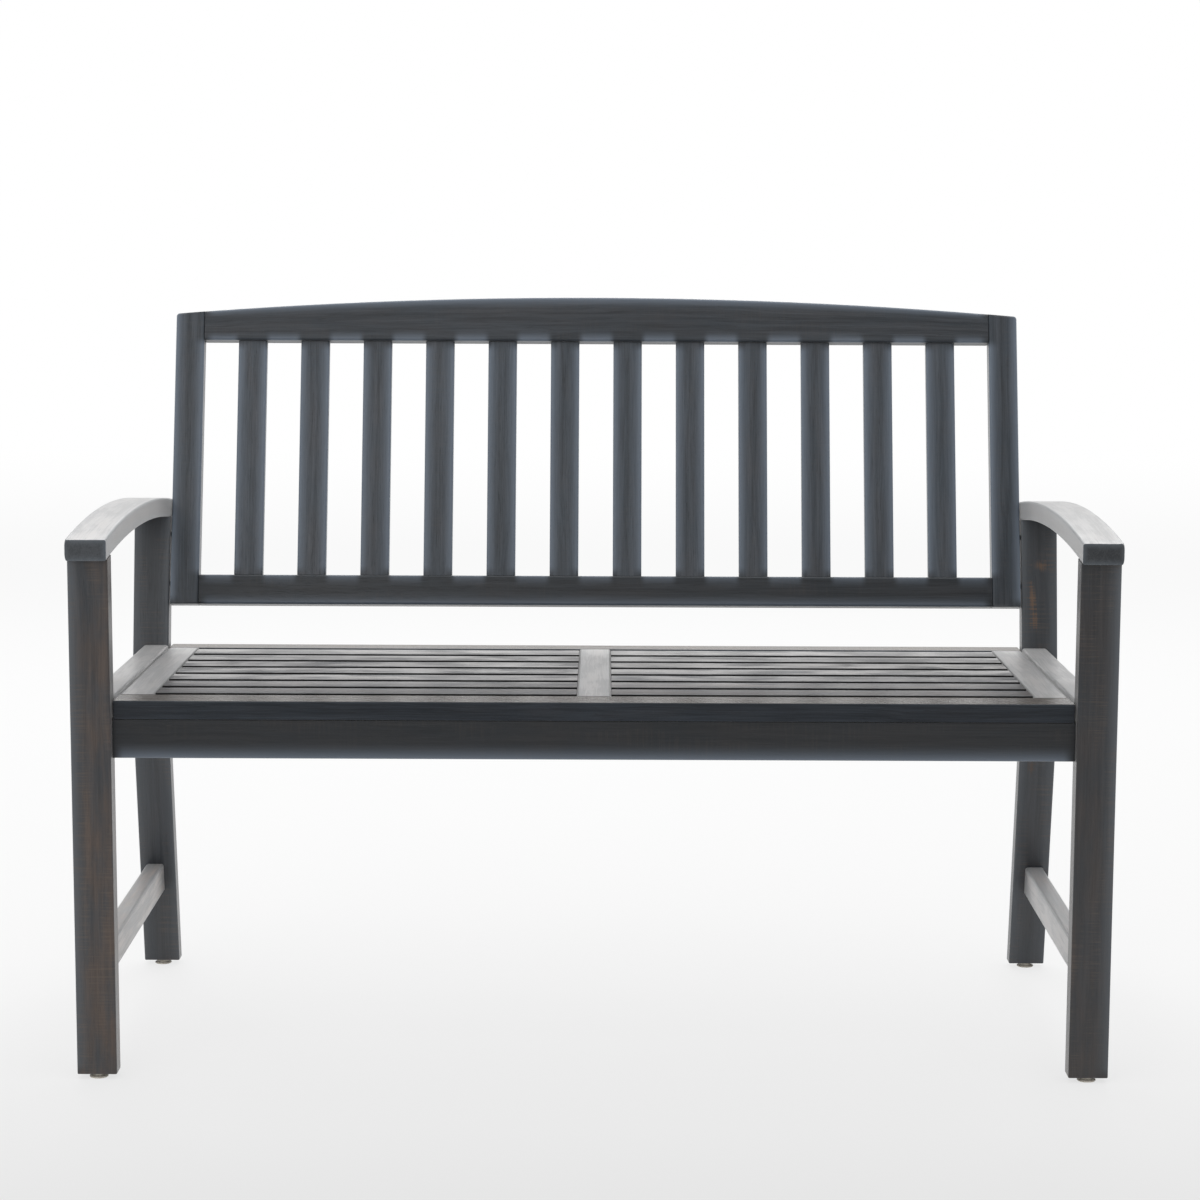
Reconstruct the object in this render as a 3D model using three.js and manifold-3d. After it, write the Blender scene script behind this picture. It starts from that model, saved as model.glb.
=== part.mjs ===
// A two-seat slatted bench in dark stained wood, with arched armrests and an arched back.
// Millimetres, +Z up. The front faces -Y, and left is the -X side.
// Two side frames carry a front and a rear apron, a sloping slatted seat frame and a leaning
// slatted back frame. Rails and slats have stub tenons in blind mortises, and eight
// socket-head bolts hold the aprons and the back to the side frames.
import * as THREE from 'three';
import { mergeVertices } from 'three/addons/utils/BufferGeometryUtils.js';
import Module from 'manifold-3d';

const wasm = await Module();
wasm.setup();

// Whole bench
const legSpan = 1200; // over the outer faces of the legs
const seatHeight = 445.5; // top of the seat's front edge
const seatFallDeg = 1; // the seat runs down towards the back
const seatSetback = 11; // the seat's front edge behind the legs' front faces

// Joints: shoulders and mortises keep one clearance, and tenons take shares of what carries them
const jointGap = 0.3;
const cutOverrun = 20; // how far a cutting body runs past the wood
const tenonThicknessShare = 0.36;
const tenonWidthShare = 0.64;
const tenonDepthShare = 0.36;
const boardRound = 3; // radius of the long edges
const slatRound = 2.5;
const cornerSteps = 1; // an arc of an outline gets two facets for each step

// Front legs
const legWidth = 46.2;
const legDepth = 28;
const legRound = 2;
const footChamfer = 1.2;

// Rear legs: one bent board each, with its knee at the seat
const rearLegDepth = 24;
const rearLegSplayDeg = 10.8; // each half of the leg leans back by this much
const kneeRadius = 300; // of the front face
const kneeDrop = 85; // knee below the seat's front edge
const kneeInset = 46; // knee's corner in front of the seat's rear edge
const kneeSteps = 5;

// Armrests
const armCrownRise = 199.3; // top of the arch above the seat's front edge
const armRadius = 2340; // of the top face
const armThickness = 24;
const armNose = 8; // past the front leg's front face
const armOverhang = 2; // past the legs' outer faces
const armCrownShare = 0.43; // where the crown is along the armrest
const armTenonShare = 0.5;
const armRound = 2.5; // inner edges
const armCrown = 2; // how far the outer side bulges
const armCrownReach = 8; // how far that bulge runs over the top, underside and ends
const armCrownSteps = 3;
const armEndChamfer = 1.5;
const armSteps = 12;
const legTenonShare = 0.45;

// Side seat rails and lower side stretchers
const sideRailThickness = 32;
const sideRailRise = 2.5; // above the seat
const sideRailTenonShares = [0.52, 0.88];
const stretcherThickness = 23;
const stretcherHeight = 38;
const stretcherBottom = 105.5;
const stretcherSetback = 8; // behind the legs' outer faces

// Aprons under the seat
const apronHeight = 45.2;
const apronThickness = 18;
const apronSetback = 12; // front apron behind the legs' front faces
const rearApronInset = 3; // rear apron behind the knee's front face
const apronTenonShares = [0.14, 0.5];

// Seat frame and its slats
const frameGap = 1.6; // between a drop-in frame and the side frames
const seatDepth = 486.5;
const seatThickness = 21.5;
const seatFrontRailWidth = 50;
const seatRearRailWidth = 38;
const seatEndRailWidth = 39.5;
const seatCentreRailWidth = 40;
const seatRailTenon = 16;
const seatSlatCount = 7; // in each bay
const seatSlatGap = 10;
const seatSlatThickness = 16;
const seatSlatTenon = 10;

// Back frame and its slats
const backRise = 57; // bottom edge above the seat's rear edge
const backLeanDeg = 15.9;
const backInset = 27.5; // bottom front edge in front of the seat's rear edge
const backThickness = 23;
const backCrown = 409; // height of the frame at the middle, along its lean
const backArchRadius = 6500;
const backStileWidth = 37.3;
const backBottomRailHeight = 38.6;
const backOpening = 311.5; // between the rails
const backSlatCount = 12;
const backSlatWidth = 37.4;
const backSlatThickness = 13;
const backSlatTenon = 12;
const backCornerRound = 4;
const archSteps = 12;

// Bolts and glides
const boltHeadRadius = 5.5;
const boltHeadHeight = 4;
const boltShankRadius = 3.2;
const boltSocketRadius = 2.3;
const boltSocketDepth = 2.5;
const counterboreDepth = 8;
const apronBoltBite = 34; // into the end of the apron
const backBoltBiteShare = 0.5; // of the stile's width
const backBoltShares = [0.22, 0.8]; // heights between the back frame's foot and the armrest
const boltPostShare = 0.33; // from the stile's middle plane towards the leg's
const turnedSteps = 20;
const glideRadius = 11; // of the disc on the floor
const glideRim = 1.6;
const glideConeRise = 0.9; // from the rim up to the neck
const glideNeckRadius = 6;
const glideHeight = 5.7;
const glideChamfer = 0.5;
const glidePinRadius = 1.6;
const glidePinLength = 16;

// Places that follow from the sizes above
const fall = THREE.MathUtils.degToRad(seatFallDeg);
const splay = THREE.MathUtils.degToRad(rearLegSplayDeg);
const lean = THREE.MathUtils.degToRad(backLeanDeg);
const legOuterX = legSpan / 2;
const legInnerX = legOuterX - legWidth;
const legFoot = glideHeight + jointGap;
const legX = [legInnerX, legOuterX];
const legY = [0, legDepth];
const frameHalf = legInnerX - frameGap;
const seatRearY = seatSetback + seatDepth * Math.cos(fall);
const kneeHeight = seatHeight - kneeDrop;
const kneeY = seatRearY - kneeInset;
const kneeCentreY = kneeY + kneeRadius / Math.cos(splay);
const armFrontY = -armNose;
const armCrownHeight = seatHeight + armCrownRise;
const armCentreZ = armCrownHeight - armRadius;
const armUnderRadius = armRadius - armThickness;
const armRearY = rearLegFrontAt(armCrownHeight - armThickness) + rearLegDepth / Math.cos(splay);
const armCrownY = armFrontY + armCrownShare * (armRearY - armFrontY);
const backFootY = seatRearY - backInset;
const backFootZ = seatTopAt(seatRearY) + backRise;
const backStileInnerX = frameHalf - backStileWidth;
const backRailBottom = backBottomRailHeight + backOpening;
const sideRailX = [legInnerX, legInnerX + sideRailThickness];
const stretcherOuterX = legOuterX - stretcherSetback;
const stretcherX = [stretcherOuterX - stretcherThickness, stretcherOuterX];
const stretcherZ = [stretcherBottom, stretcherBottom + stretcherHeight];
const frontApronY = [apronSetback, apronSetback + apronThickness];
const rearApronFrontY = kneeCentreY - kneeRadius + rearApronInset;
const rearApronY = [rearApronFrontY, rearApronFrontY + apronThickness];

/** Y of the rear leg's front face at a height: two leaning lines joined by the knee's arc. */
function rearLegFrontAt(z) {
  const offset = Math.abs(z - kneeHeight);
  if (offset < kneeRadius * Math.sin(splay)) {
    return kneeCentreY - Math.sqrt(kneeRadius ** 2 - offset ** 2);
  }
  return kneeY + offset * Math.tan(splay);
}

/** Y halfway through the rear leg's upper half at a height. */
function rearLegMiddleAt(z) {
  return rearLegFrontAt(z) + rearLegDepth / Math.cos(splay) / 2;
}

/** Height of the armrest's top face at a depth. */
function armTopAt(y) {
  return armCentreZ + Math.sqrt(armRadius ** 2 - (y - armCrownY) ** 2);
}

/** Height of the armrest's underside at a depth. */
function armUnderAt(y) {
  return armCentreZ + Math.sqrt(armUnderRadius ** 2 - (y - armCrownY) ** 2);
}

/** Height of the seat's top face at a depth. */
function seatTopAt(y) {
  return seatHeight - (y - seatSetback) * Math.tan(fall);
}

/** Height of the seat's underside at a depth. */
function seatUnderAt(y) {
  return seatTopAt(y) - seatThickness / Math.cos(fall);
}

/** Height of the back frame's arch at a distance from the middle, along its lean. */
function archAt(x) {
  return backCrown - backArchRadius + Math.sqrt(backArchRadius ** 2 - x ** 2);
}

/** The bottom and top of an apron whose top edge lies under the seat. */
function apronZ(y) {
  const top = seatUnderAt(y[1]) - jointGap;
  return [top - apronHeight, top];
}

/** The bottom and top of a side seat rail at a depth. */
function sideRailZ(y) {
  return [seatUnderAt(y) - apronHeight, seatTopAt(y) + sideRailRise];
}

/** The part of a pair's span between two shares of it. */
function slice([low, high], [from, to]) {
  return [low + (high - low) * from, low + (high - low) * to];
}

/** The middle part of a pair's span. */
function middle(pair, share) {
  return slice(pair, [(1 - share) / 2, (1 + share) / 2]);
}

/** A pair moved apart at both ends. */
function widened([low, high], by) {
  return [low - by, high + by];
}

/** The mean of a pair. */
function centreOf([low, high]) {
  return (low + high) / 2;
}

/** An X pair given for the right side, on the named side. */
function sided([low, high], side) {
  return side > 0 ? [low, high] : [-high, -low];
}

/** The mortise for a tenon: its box with the joint clearance all round. */
function mortise(tenon) {
  return block({
    x: widened(tenon.x, jointGap),
    y: widened(tenon.y, jointGap),
    z: widened(tenon.z, jointGap),
  });
}

/** A solid with a mortise cut for each of the tenons that enter it. */
function withMortises(solid, tenons) {
  return tenons.reduce((rest, tenon) => rest.subtract(mortise(tenon)), solid);
}

// Turns from an outline's own axes (x, y, extrusion) to the bench's
const unitX = new THREE.Vector3(1, 0, 0);
const unitY = new THREE.Vector3(0, 1, 0);
const unitZ = new THREE.Vector3(0, 0, 1);
const fromSide = new THREE.Matrix4().makeBasis(unitY, unitZ, unitX);
const fromFront = new THREE.Matrix4().makeBasis(unitX, unitZ, unitY.clone().negate());
const fromAbove = new THREE.Matrix4().makeBasis(unitX, unitY, unitZ);

/** The solid of a closed geometry, with shared corners merged and collapsed triangles left out. */
function solidOf(geometry) {
  geometry.deleteAttribute('normal');
  geometry.deleteAttribute('uv');
  const merged = mergeVertices(geometry);
  const corners = merged.index.array;
  const triangles = [];
  for (let i = 0; i < corners.length; i += 3) {
    const [a, b, c] = corners.slice(i, i + 3);
    if (a !== b && b !== c && c !== a) {
      triangles.push(a, b, c);
    }
  }
  return new wasm.Manifold(new wasm.Mesh({
    numProp: 3,
    vertProperties: merged.attributes.position.array,
    triVerts: Uint32Array.from(triangles),
  }));
}

/** A rectangle about the origin with rounded corners. */
function roundedRectangle(width, height, radius) {
  const shape = new THREE.Shape();
  const right = width / 2 - radius;
  const top = height / 2 - radius;
  const corners = [[right, top], [-right, top], [-right, -top], [right, -top]];
  corners.forEach(([x, y], quarter) => {
    const start = quarter * Math.PI / 2;
    shape.absarc(x, y, radius, start, start + Math.PI / 2, false);
  });
  return shape.closePath();
}

/**
 * An outline extruded between two places. Its face edges are rounded when a radius is given,
 * and reach is how far the rounding runs over the sides where that differs.
 */
function plate(shape, [from, to], turn, edges = {}) {
  const { round = 0, reach = round, roundSteps = 2 * cornerSteps, steps = cornerSteps } = edges;
  const geometry = new THREE.ExtrudeGeometry(shape, {
    depth: to - from - 2 * round,
    curveSegments: steps,
    bevelEnabled: round > 0,
    bevelThickness: round,
    bevelSize: reach,
    bevelOffset: -reach,
    bevelSegments: roundSteps,
  });
  return solidOf(geometry.translate(0, 0, from + round).applyMatrix4(turn));
}

/** A side-view outline (Y, Z) extruded along X. */
function sidePlate(shape, x, edges) {
  return plate(shape, x, fromSide, edges);
}

/** A front-view outline (X, Z) extruded along Y. */
function frontPlate(shape, [front, rear], edges) {
  return plate(shape, [-rear, -front], fromFront, edges);
}

/** A plain box. */
function block({ x, y, z }) {
  const geometry = new THREE.BoxGeometry(x[1] - x[0], y[1] - y[0], z[1] - z[0]);
  return solidOf(geometry.translate(centreOf(x), centreOf(y), centreOf(z)));
}

/** A board with its four long edges rounded; grain is the axis that it runs along. */
function board({ x, y, z }, grain, radius) {
  const [sizeX, sizeY, sizeZ] = [x, y, z].map(([low, high]) => high - low);
  const sections = {
    x: { width: sizeY, height: sizeZ, length: sizeX, turn: fromSide },
    y: { width: sizeX, height: sizeZ, length: sizeY, turn: fromFront },
    z: { width: sizeX, height: sizeY, length: sizeZ, turn: fromAbove },
  };
  const { width, height, length, turn } = sections[grain];
  const geometry = new THREE.ExtrudeGeometry(roundedRectangle(width, height, radius), {
    depth: length,
    curveSegments: cornerSteps,
    bevelEnabled: false,
  });
  geometry.translate(0, 0, -length / 2).applyMatrix4(turn);
  return solidOf(geometry.translate(centreOf(x), centreOf(y), centreOf(z)));
}

/** A solid with a chamfer along each of its X edges that pass through the given (Y, Z) places. */
function chamfered(solid, x, places, chamfer) {
  const [from, to] = widened(x, cutOverrun);
  const side = chamfer * Math.SQRT2;
  return places.reduce((rest, [y, z]) => {
    const bar = new THREE.BoxGeometry(to - from, side, side).rotateX(Math.PI / 4);
    return rest.subtract(solidOf(bar.translate(centreOf(x), y, z)));
  }, solid);
}

/** A round rod along X. */
function rod(radius, x, y, z) {
  const geometry = new THREE.CylinderGeometry(radius, radius, x[1] - x[0], turnedSteps);
  return solidOf(geometry.rotateZ(Math.PI / 2).translate(centreOf(x), y, z));
}

/** A finished piece as a named mesh with a material of its own. */
function piece(name, solid, look) {
  const { vertProperties, triVerts } = solid.getMesh();
  const geometry = new THREE.BufferGeometry();
  geometry.setAttribute('position', new THREE.BufferAttribute(vertProperties, 3));
  geometry.setIndex(new THREE.BufferAttribute(triVerts, 1));
  geometry.computeVertexNormals();
  const mesh = new THREE.Mesh(geometry, new THREE.MeshStandardMaterial(look));
  mesh.name = name;
  return mesh;
}

const stainedWood = { color: '#43403f', roughness: 0.45, metalness: 0, flatShading: true };
const blackedSteel = { color: '#3a3b3d', roughness: 0.4, metalness: 1, flatShading: true };
const glidePlastic = { color: '#cfc6b2', roughness: 0.5, metalness: 0, flatShading: true };

/** The rear leg's side view, its faces moved out by a clearance. */
function rearLegOutline(clearance) {
  const shape = new THREE.Shape();
  const faces = {
    front: kneeRadius + clearance,
    rear: kneeRadius - rearLegDepth - clearance,
  };
  const faceAt = (radius, z) => (
    kneeCentreY - radius / Math.cos(splay) + Math.abs(z - kneeHeight) * Math.tan(splay)
  );
  const knee = [kneeCentreY, kneeHeight];
  shape.absarc(...knee, faces.front, Math.PI + splay, Math.PI - splay, true);
  shape.lineTo(faceAt(faces.front, armCrownHeight), armCrownHeight);
  shape.lineTo(faceAt(faces.rear, armCrownHeight), armCrownHeight);
  shape.absarc(...knee, faces.rear, Math.PI - splay, Math.PI + splay, false);
  shape.lineTo(faceAt(faces.rear, legFoot), legFoot);
  shape.lineTo(faceAt(faces.front, legFoot), legFoot);
  return shape.closePath();
}

/** What cuts a rail's rear end to the rear leg's front face. */
function rearLegCut(x) {
  return sidePlate(rearLegOutline(jointGap), widened(x, cutOverrun), { steps: kneeSteps });
}

/** The space above the armrest's underside, which trims the tops of the legs. */
function spaceOverLegs(x) {
  const shape = new THREE.Shape();
  const radius = armUnderRadius - jointGap;
  const [front, rear] = widened([armFrontY, armRearY], cutOverrun);
  const angleAt = (y) => Math.acos((y - armCrownY) / radius);
  shape.absarc(armCrownY, armCentreZ, radius, angleAt(front), angleAt(rear), true);
  shape.lineTo(rear, armCrownHeight + cutOverrun);
  shape.lineTo(front, armCrownHeight + cutOverrun);
  return sidePlate(shape.closePath(), widened(x, cutOverrun), { steps: armSteps });
}

/** The tenon on top of a leg whose middle is at a depth. */
function legTopTenon(y, depth, side) {
  const under = armUnderAt(y);
  return {
    x: sided(middle(legX, legTenonShare), side),
    y: middle(widened([y, y], depth / 2), legTenonShare),
    z: [under - armThickness, under + armTenonShare * armThickness],
  };
}

/** The two end tenons of a rail between a front and a rear leg. */
function sideTenons(x, frontZ, rearZ, side) {
  const length = tenonDepthShare * legDepth;
  const rearY = rearLegFrontAt(centreOf(rearZ));
  const tenonX = sided(middle(x, tenonThicknessShare), side);
  return {
    front: { x: tenonX, y: widened([legDepth, legDepth], length), z: frontZ },
    rear: { x: tenonX, y: widened([rearY, rearY], length), z: rearZ },
  };
}

/** The tenons of a side seat rail, in its upper half and clear of the aprons'. */
function sideRailTenons(side) {
  const frontZ = slice(sideRailZ(legDepth), sideRailTenonShares);
  const rearZ = slice(sideRailZ(kneeY), sideRailTenonShares);
  return sideTenons(sideRailX, frontZ, rearZ, side);
}

/** The tenons of a lower side stretcher. */
function stretcherTenons(side) {
  const z = middle(stretcherZ, tenonWidthShare);
  return sideTenons(stretcherX, z, z, side);
}

/** An apron's end tenon, low down so that the side rail's tenon passes above it. */
function apronTenon(y, side) {
  const length = tenonDepthShare * legWidth;
  return {
    x: sided(widened([legInnerX, legInnerX], length), side),
    y: middle(y, tenonThicknessShare),
    z: slice(apronZ(y), apronTenonShares),
  };
}

/** Where an apron's bolt runs: through the middle of its tenon. */
function apronBolt(y) {
  return {
    y: centreOf(y),
    z: centreOf(slice(apronZ(y), apronTenonShares)),
    tipX: legInnerX - apronBoltBite,
  };
}

/** Where a back bolt runs: through the rear leg into the edge of the leaning stile. */
function backBolt(heightShare) {
  const rise = armUnderAt(rearLegMiddleAt(armCrownHeight)) - backFootZ;
  const z = backFootZ + heightShare * rise;
  const stileY = backFootY + backThickness / 2 / Math.cos(lean) + (z - backFootZ) * Math.tan(lean);
  return {
    y: stileY + boltPostShare * (rearLegMiddleAt(z) - stileY),
    z,
    tipX: frameHalf - backBoltBiteShare * backStileWidth,
  };
}

/** A bolt's hole from its tip, with a counterbore for its head in the leg's outer face. */
function boltHole(bolt, side) {
  const floor = legOuterX - counterboreDepth;
  const shank = [bolt.tipX - jointGap, floor + jointGap];
  const head = [floor, legOuterX + cutOverrun];
  return rod(boltShankRadius + jointGap, sided(shank, side), bolt.y, bolt.z)
    .add(rod(boltHeadRadius + jointGap, sided(head, side), bolt.y, bolt.z));
}

/** A socket-head bolt, turned about X. */
function boltPiece(name, bolt, side) {
  const seat = legOuterX - counterboreDepth + jointGap;
  const top = seat + boltHeadHeight;
  const profile = [
    [0, bolt.tipX],
    [boltShankRadius / 2, bolt.tipX],
    [boltShankRadius, bolt.tipX + boltShankRadius],
    [boltShankRadius, seat],
    [boltHeadRadius, seat],
    [boltHeadRadius, top - boltHeadHeight / 4],
    [boltHeadRadius - boltHeadHeight / 4, top],
    [0, top],
  ];
  const turned = new THREE.LatheGeometry(profile.map(([r, h]) => new THREE.Vector2(r, h)), turnedSteps);
  const socket = new THREE.CylinderGeometry(boltSocketRadius, boltSocketRadius, 2 * boltSocketDepth, 6);
  socket.translate(0, top, 0);
  const towardsSide = side > 0 ? -Math.PI / 2 : Math.PI / 2;
  const solid = solidOf(turned.rotateZ(towardsSide)).subtract(solidOf(socket.rotateZ(towardsSide)));
  const mesh = piece(name, solid, blackedSteel);
  mesh.position.set(0, bolt.y, bolt.z);
  return mesh;
}

/** Where the pin of a leg's glide stands. */
function glideY(isFront) {
  return isFront ? legDepth / 2 : rearLegFrontAt(legFoot) + rearLegDepth / Math.cos(splay) / 2;
}

/** The pin's hole in the end of a leg. */
function glideHole(isFront, side) {
  const radius = glidePinRadius + jointGap;
  const height = 2 * (glidePinLength + jointGap);
  const geometry = new THREE.CylinderGeometry(radius, radius, height, turnedSteps);
  geometry.rotateX(Math.PI / 2);
  return solidOf(geometry.translate(side * centreOf(legX), glideY(isFront), glideHeight));
}

/** A plastic glide: a disc on the floor, a neck, and a pin driven into the end of a leg. */
function glide(name, isFront, side) {
  const profile = [
    [0, 0],
    [glideRadius - glideChamfer, 0],
    [glideRadius, glideChamfer],
    [glideRadius, glideRim - glideChamfer],
    [glideRadius - glideChamfer, glideRim],
    [glideNeckRadius + glideChamfer, glideRim + glideConeRise],
    [glideNeckRadius, glideRim + glideConeRise + glideChamfer],
    [glideNeckRadius, glideHeight - glideChamfer],
    [glideNeckRadius - glideChamfer, glideHeight],
    [glidePinRadius, glideHeight],
    [glidePinRadius, glideHeight + glidePinLength - glidePinRadius],
    [0, glideHeight + glidePinLength],
  ];
  const turned = new THREE.LatheGeometry(profile.map(([r, h]) => new THREE.Vector2(r, h)), turnedSteps);
  const mesh = piece(name, solidOf(turned.rotateX(Math.PI / 2)), glidePlastic);
  mesh.position.set(side * centreOf(legX), glideY(isFront), 0);
  return mesh;
}

/** A straight front leg, chamfered at its foot and shaped to the armrest at its top. */
function frontLeg(name, side) {
  const x = sided(legX, side);
  const section = roundedRectangle(legWidth, legDepth, legRound);
  const shaft = new THREE.ExtrudeGeometry(section, {
    depth: armCrownHeight - legFoot - 2 * footChamfer,
    curveSegments: cornerSteps,
    bevelThickness: footChamfer,
    bevelSize: footChamfer,
    bevelOffset: -footChamfer,
    bevelSegments: 1,
  });
  shaft.translate(centreOf(x), centreOf(legY), legFoot + footChamfer);
  const solid = solidOf(shaft)
    .subtract(spaceOverLegs(x))
    .add(block(legTopTenon(centreOf(legY), legDepth, side)))
    .subtract(mortise(apronTenon(frontApronY, side)))
    .subtract(mortise(sideRailTenons(side).front))
    .subtract(mortise(stretcherTenons(side).front))
    .subtract(boltHole(apronBolt(frontApronY), side))
    .subtract(glideHole(true, side));
  return piece(name, solid, stainedWood);
}

/** A rear leg, bent at the seat, that carries the back frame and the armrest's rear end. */
function rearLeg(name, side) {
  const x = sided(legX, side);
  const topY = rearLegMiddleAt(armUnderAt(armRearY));
  const footFrontY = rearLegFrontAt(legFoot);
  const footY = [footFrontY, footFrontY + rearLegDepth / Math.cos(splay)];
  const shaft = sidePlate(rearLegOutline(0), x, { round: legRound, steps: kneeSteps });
  let solid = chamfered(shaft, x, footY.map((y) => [y, legFoot]), footChamfer)
    .subtract(spaceOverLegs(x))
    .add(block(legTopTenon(topY, rearLegDepth, side)))
    .subtract(mortise(apronTenon(rearApronY, side)))
    .subtract(mortise(sideRailTenons(side).rear))
    .subtract(mortise(stretcherTenons(side).rear))
    .subtract(boltHole(apronBolt(rearApronY), side))
    .subtract(glideHole(false, side));
  for (const share of backBoltShares) {
    solid = solid.subtract(boltHole(backBolt(share), side));
  }
  return piece(name, solid, stainedWood);
}

/** An arched armrest with a bulging outer side, mortised from below for both legs. */
function armrest(name, side) {
  const shape = new THREE.Shape();
  const angleAt = (y, radius) => Math.acos((y - armCrownY) / radius);
  const faceAngles = (radius) => [angleAt(armFrontY, radius), angleAt(armRearY, radius)];
  const [topFront, topRear] = faceAngles(armRadius);
  const [underFront, underRear] = faceAngles(armUnderRadius);
  shape.absarc(armCrownY, armCentreZ, armRadius, topFront, topRear, true);
  shape.absarc(armCrownY, armCentreZ, armUnderRadius, underRear, underFront, false);
  shape.closePath();
  const armX = [legInnerX, legOuterX + armOverhang];
  const outerHalf = block({
    x: sided([centreOf(legX), armX[1] + cutOverrun], side),
    y: widened([armFrontY, armRearY], cutOverrun),
    z: widened([armUnderAt(armRearY), armCrownHeight], cutOverrun),
  });
  const x = sided(armX, side);
  const inner = sidePlate(shape, x, { round: armRound, steps: armSteps }).subtract(outerHalf);
  const crowned = { round: armCrown, reach: armCrownReach, roundSteps: armCrownSteps, steps: armSteps };
  const outer = sidePlate(shape, x, crowned).intersect(outerHalf);
  const endEdges = [armFrontY, armRearY].flatMap((y) => [[y, armTopAt(y)], [y, armUnderAt(y)]]);
  const topY = rearLegMiddleAt(armUnderAt(armRearY));
  const solid = chamfered(inner.add(outer), x, endEdges, armEndChamfer)
    .subtract(mortise(legTopTenon(centreOf(legY), legDepth, side)))
    .subtract(mortise(legTopTenon(topY, rearLegDepth, side)));
  return piece(name, solid, stainedWood);
}

/** A rail between the front and the rear leg at seat height, which falls with the seat. */
function sideSeatRail(name, side) {
  const frontY = legDepth + jointGap;
  const rearY = kneeY + rearLegDepth / 2;
  const [frontBottom, frontTop] = sideRailZ(frontY);
  const [rearBottom, rearTop] = sideRailZ(rearY);
  const shape = new THREE.Shape([
    new THREE.Vector2(frontY, frontBottom),
    new THREE.Vector2(rearY, rearBottom),
    new THREE.Vector2(rearY, rearTop),
    new THREE.Vector2(frontY, frontTop),
  ]);
  const x = sided(sideRailX, side);
  const tenons = sideRailTenons(side);
  const solid = sidePlate(shape, x, { round: boardRound })
    .subtract(rearLegCut(x))
    .add(block(tenons.front))
    .add(block(tenons.rear));
  return piece(name, solid, stainedWood);
}

/** A lower stretcher between the front and the rear leg. */
function stretcher(name, side) {
  const x = sided(stretcherX, side);
  const rearY = rearLegFrontAt(stretcherZ[0]) + rearLegDepth / 2;
  const tenons = stretcherTenons(side);
  const solid = board({ x, y: [legDepth + jointGap, rearY], z: stretcherZ }, 'y', boardRound)
    .subtract(rearLegCut(x))
    .add(block(tenons.front))
    .add(block(tenons.rear));
  return piece(name, solid, stainedWood);
}

/** One side of the bench, with its glides and bolts. */
function sideFrame(label, side) {
  const frame = new THREE.Group();
  frame.add(
    frontLeg(`${label}_front_leg`, side),
    rearLeg(`${label}_rear_leg`, side),
    armrest(`${label}_armrest`, side),
    sideSeatRail(`${label}_side_seat_rail`, side),
    stretcher(`${label}_side_stretcher`, side),
    glide(`${label}_front_glide`, true, side),
    glide(`${label}_rear_glide`, false, side),
    boltPiece(`${label}_front_apron_bolt`, apronBolt(frontApronY), side),
    boltPiece(`${label}_rear_apron_bolt`, apronBolt(rearApronY), side),
    boltPiece(`${label}_lower_back_bolt`, backBolt(backBoltShares[0]), side),
    boltPiece(`${label}_upper_back_bolt`, backBolt(backBoltShares[1]), side),
  );
  return frame;
}

/** An apron between the two side frames, with a bolted stub tenon at each end. */
function apron(name, y) {
  const half = legInnerX - jointGap;
  let solid = board({ x: [-half, half], y, z: apronZ(y) }, 'x', boardRound);
  for (const side of [-1, 1]) {
    solid = solid.add(block(apronTenon(y, side))).subtract(boltHole(apronBolt(y), side));
  }
  return piece(name, solid, stainedWood);
}

/** The seat: a five-piece frame with two bays of slats that run from side to side. */
function seatFrame() {
  const seat = new THREE.Group();
  const z = [-seatThickness, 0];
  const rearRailY = seatDepth - seatRearRailWidth;
  const betweenY = [seatFrontRailWidth, rearRailY];
  const shortRails = {
    seat_left_end_rail: [-frameHalf, -frameHalf + seatEndRailWidth],
    seat_centre_rail: [-seatCentreRailWidth / 2, seatCentreRailWidth / 2],
    seat_right_end_rail: [frameHalf - seatEndRailWidth, frameHalf],
  };
  const railTenons = Object.values(shortRails).map((x) => ({
    x: middle(x, tenonWidthShare),
    y: widened(betweenY, seatRailTenon),
    z: middle(z, tenonThicknessShare),
  }));

  const openingY = betweenY[1] - betweenY[0];
  const slatWidth = (openingY - (seatSlatCount + 1) * seatSlatGap) / seatSlatCount;
  const bays = {
    left: [shortRails.seat_left_end_rail[1], shortRails.seat_centre_rail[0]],
    right: [shortRails.seat_centre_rail[1], shortRails.seat_right_end_rail[0]],
  };
  const slatZ = [-seatSlatThickness, 0];
  const slatTenons = [];
  for (const [label, bay] of Object.entries(bays)) {
    for (let index = 0; index < seatSlatCount; index += 1) {
      const front = betweenY[0] + seatSlatGap + index * (slatWidth + seatSlatGap);
      const y = [front, front + slatWidth];
      const tenon = {
        x: widened(bay, seatSlatTenon),
        y: middle(y, tenonWidthShare),
        z: middle(slatZ, tenonThicknessShare),
      };
      slatTenons.push(tenon);
      const solid = board({ x: widened(bay, -jointGap), y, z: slatZ }, 'x', slatRound).add(block(tenon));
      seat.add(piece(`seat_${label}_slat_${index + 1}`, solid, stainedWood));
    }
  }

  const longRails = {
    seat_front_rail: [0, seatFrontRailWidth],
    seat_rear_rail: [rearRailY, seatDepth],
  };
  for (const [name, y] of Object.entries(longRails)) {
    const rail = board({ x: [-frameHalf, frameHalf], y, z }, 'x', boardRound);
    seat.add(piece(name, withMortises(rail, railTenons), stainedWood));
  }
  Object.entries(shortRails).forEach(([name, x], index) => {
    const rail = board({ x, y: widened(betweenY, -jointGap), z }, 'y', boardRound)
      .add(block(railTenons[index]));
    seat.add(piece(name, withMortises(rail, slatTenons), stainedWood));
  });

  seat.position.set(0, seatSetback, seatHeight);
  seat.rotation.x = -fall;
  return seat;
}

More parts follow.
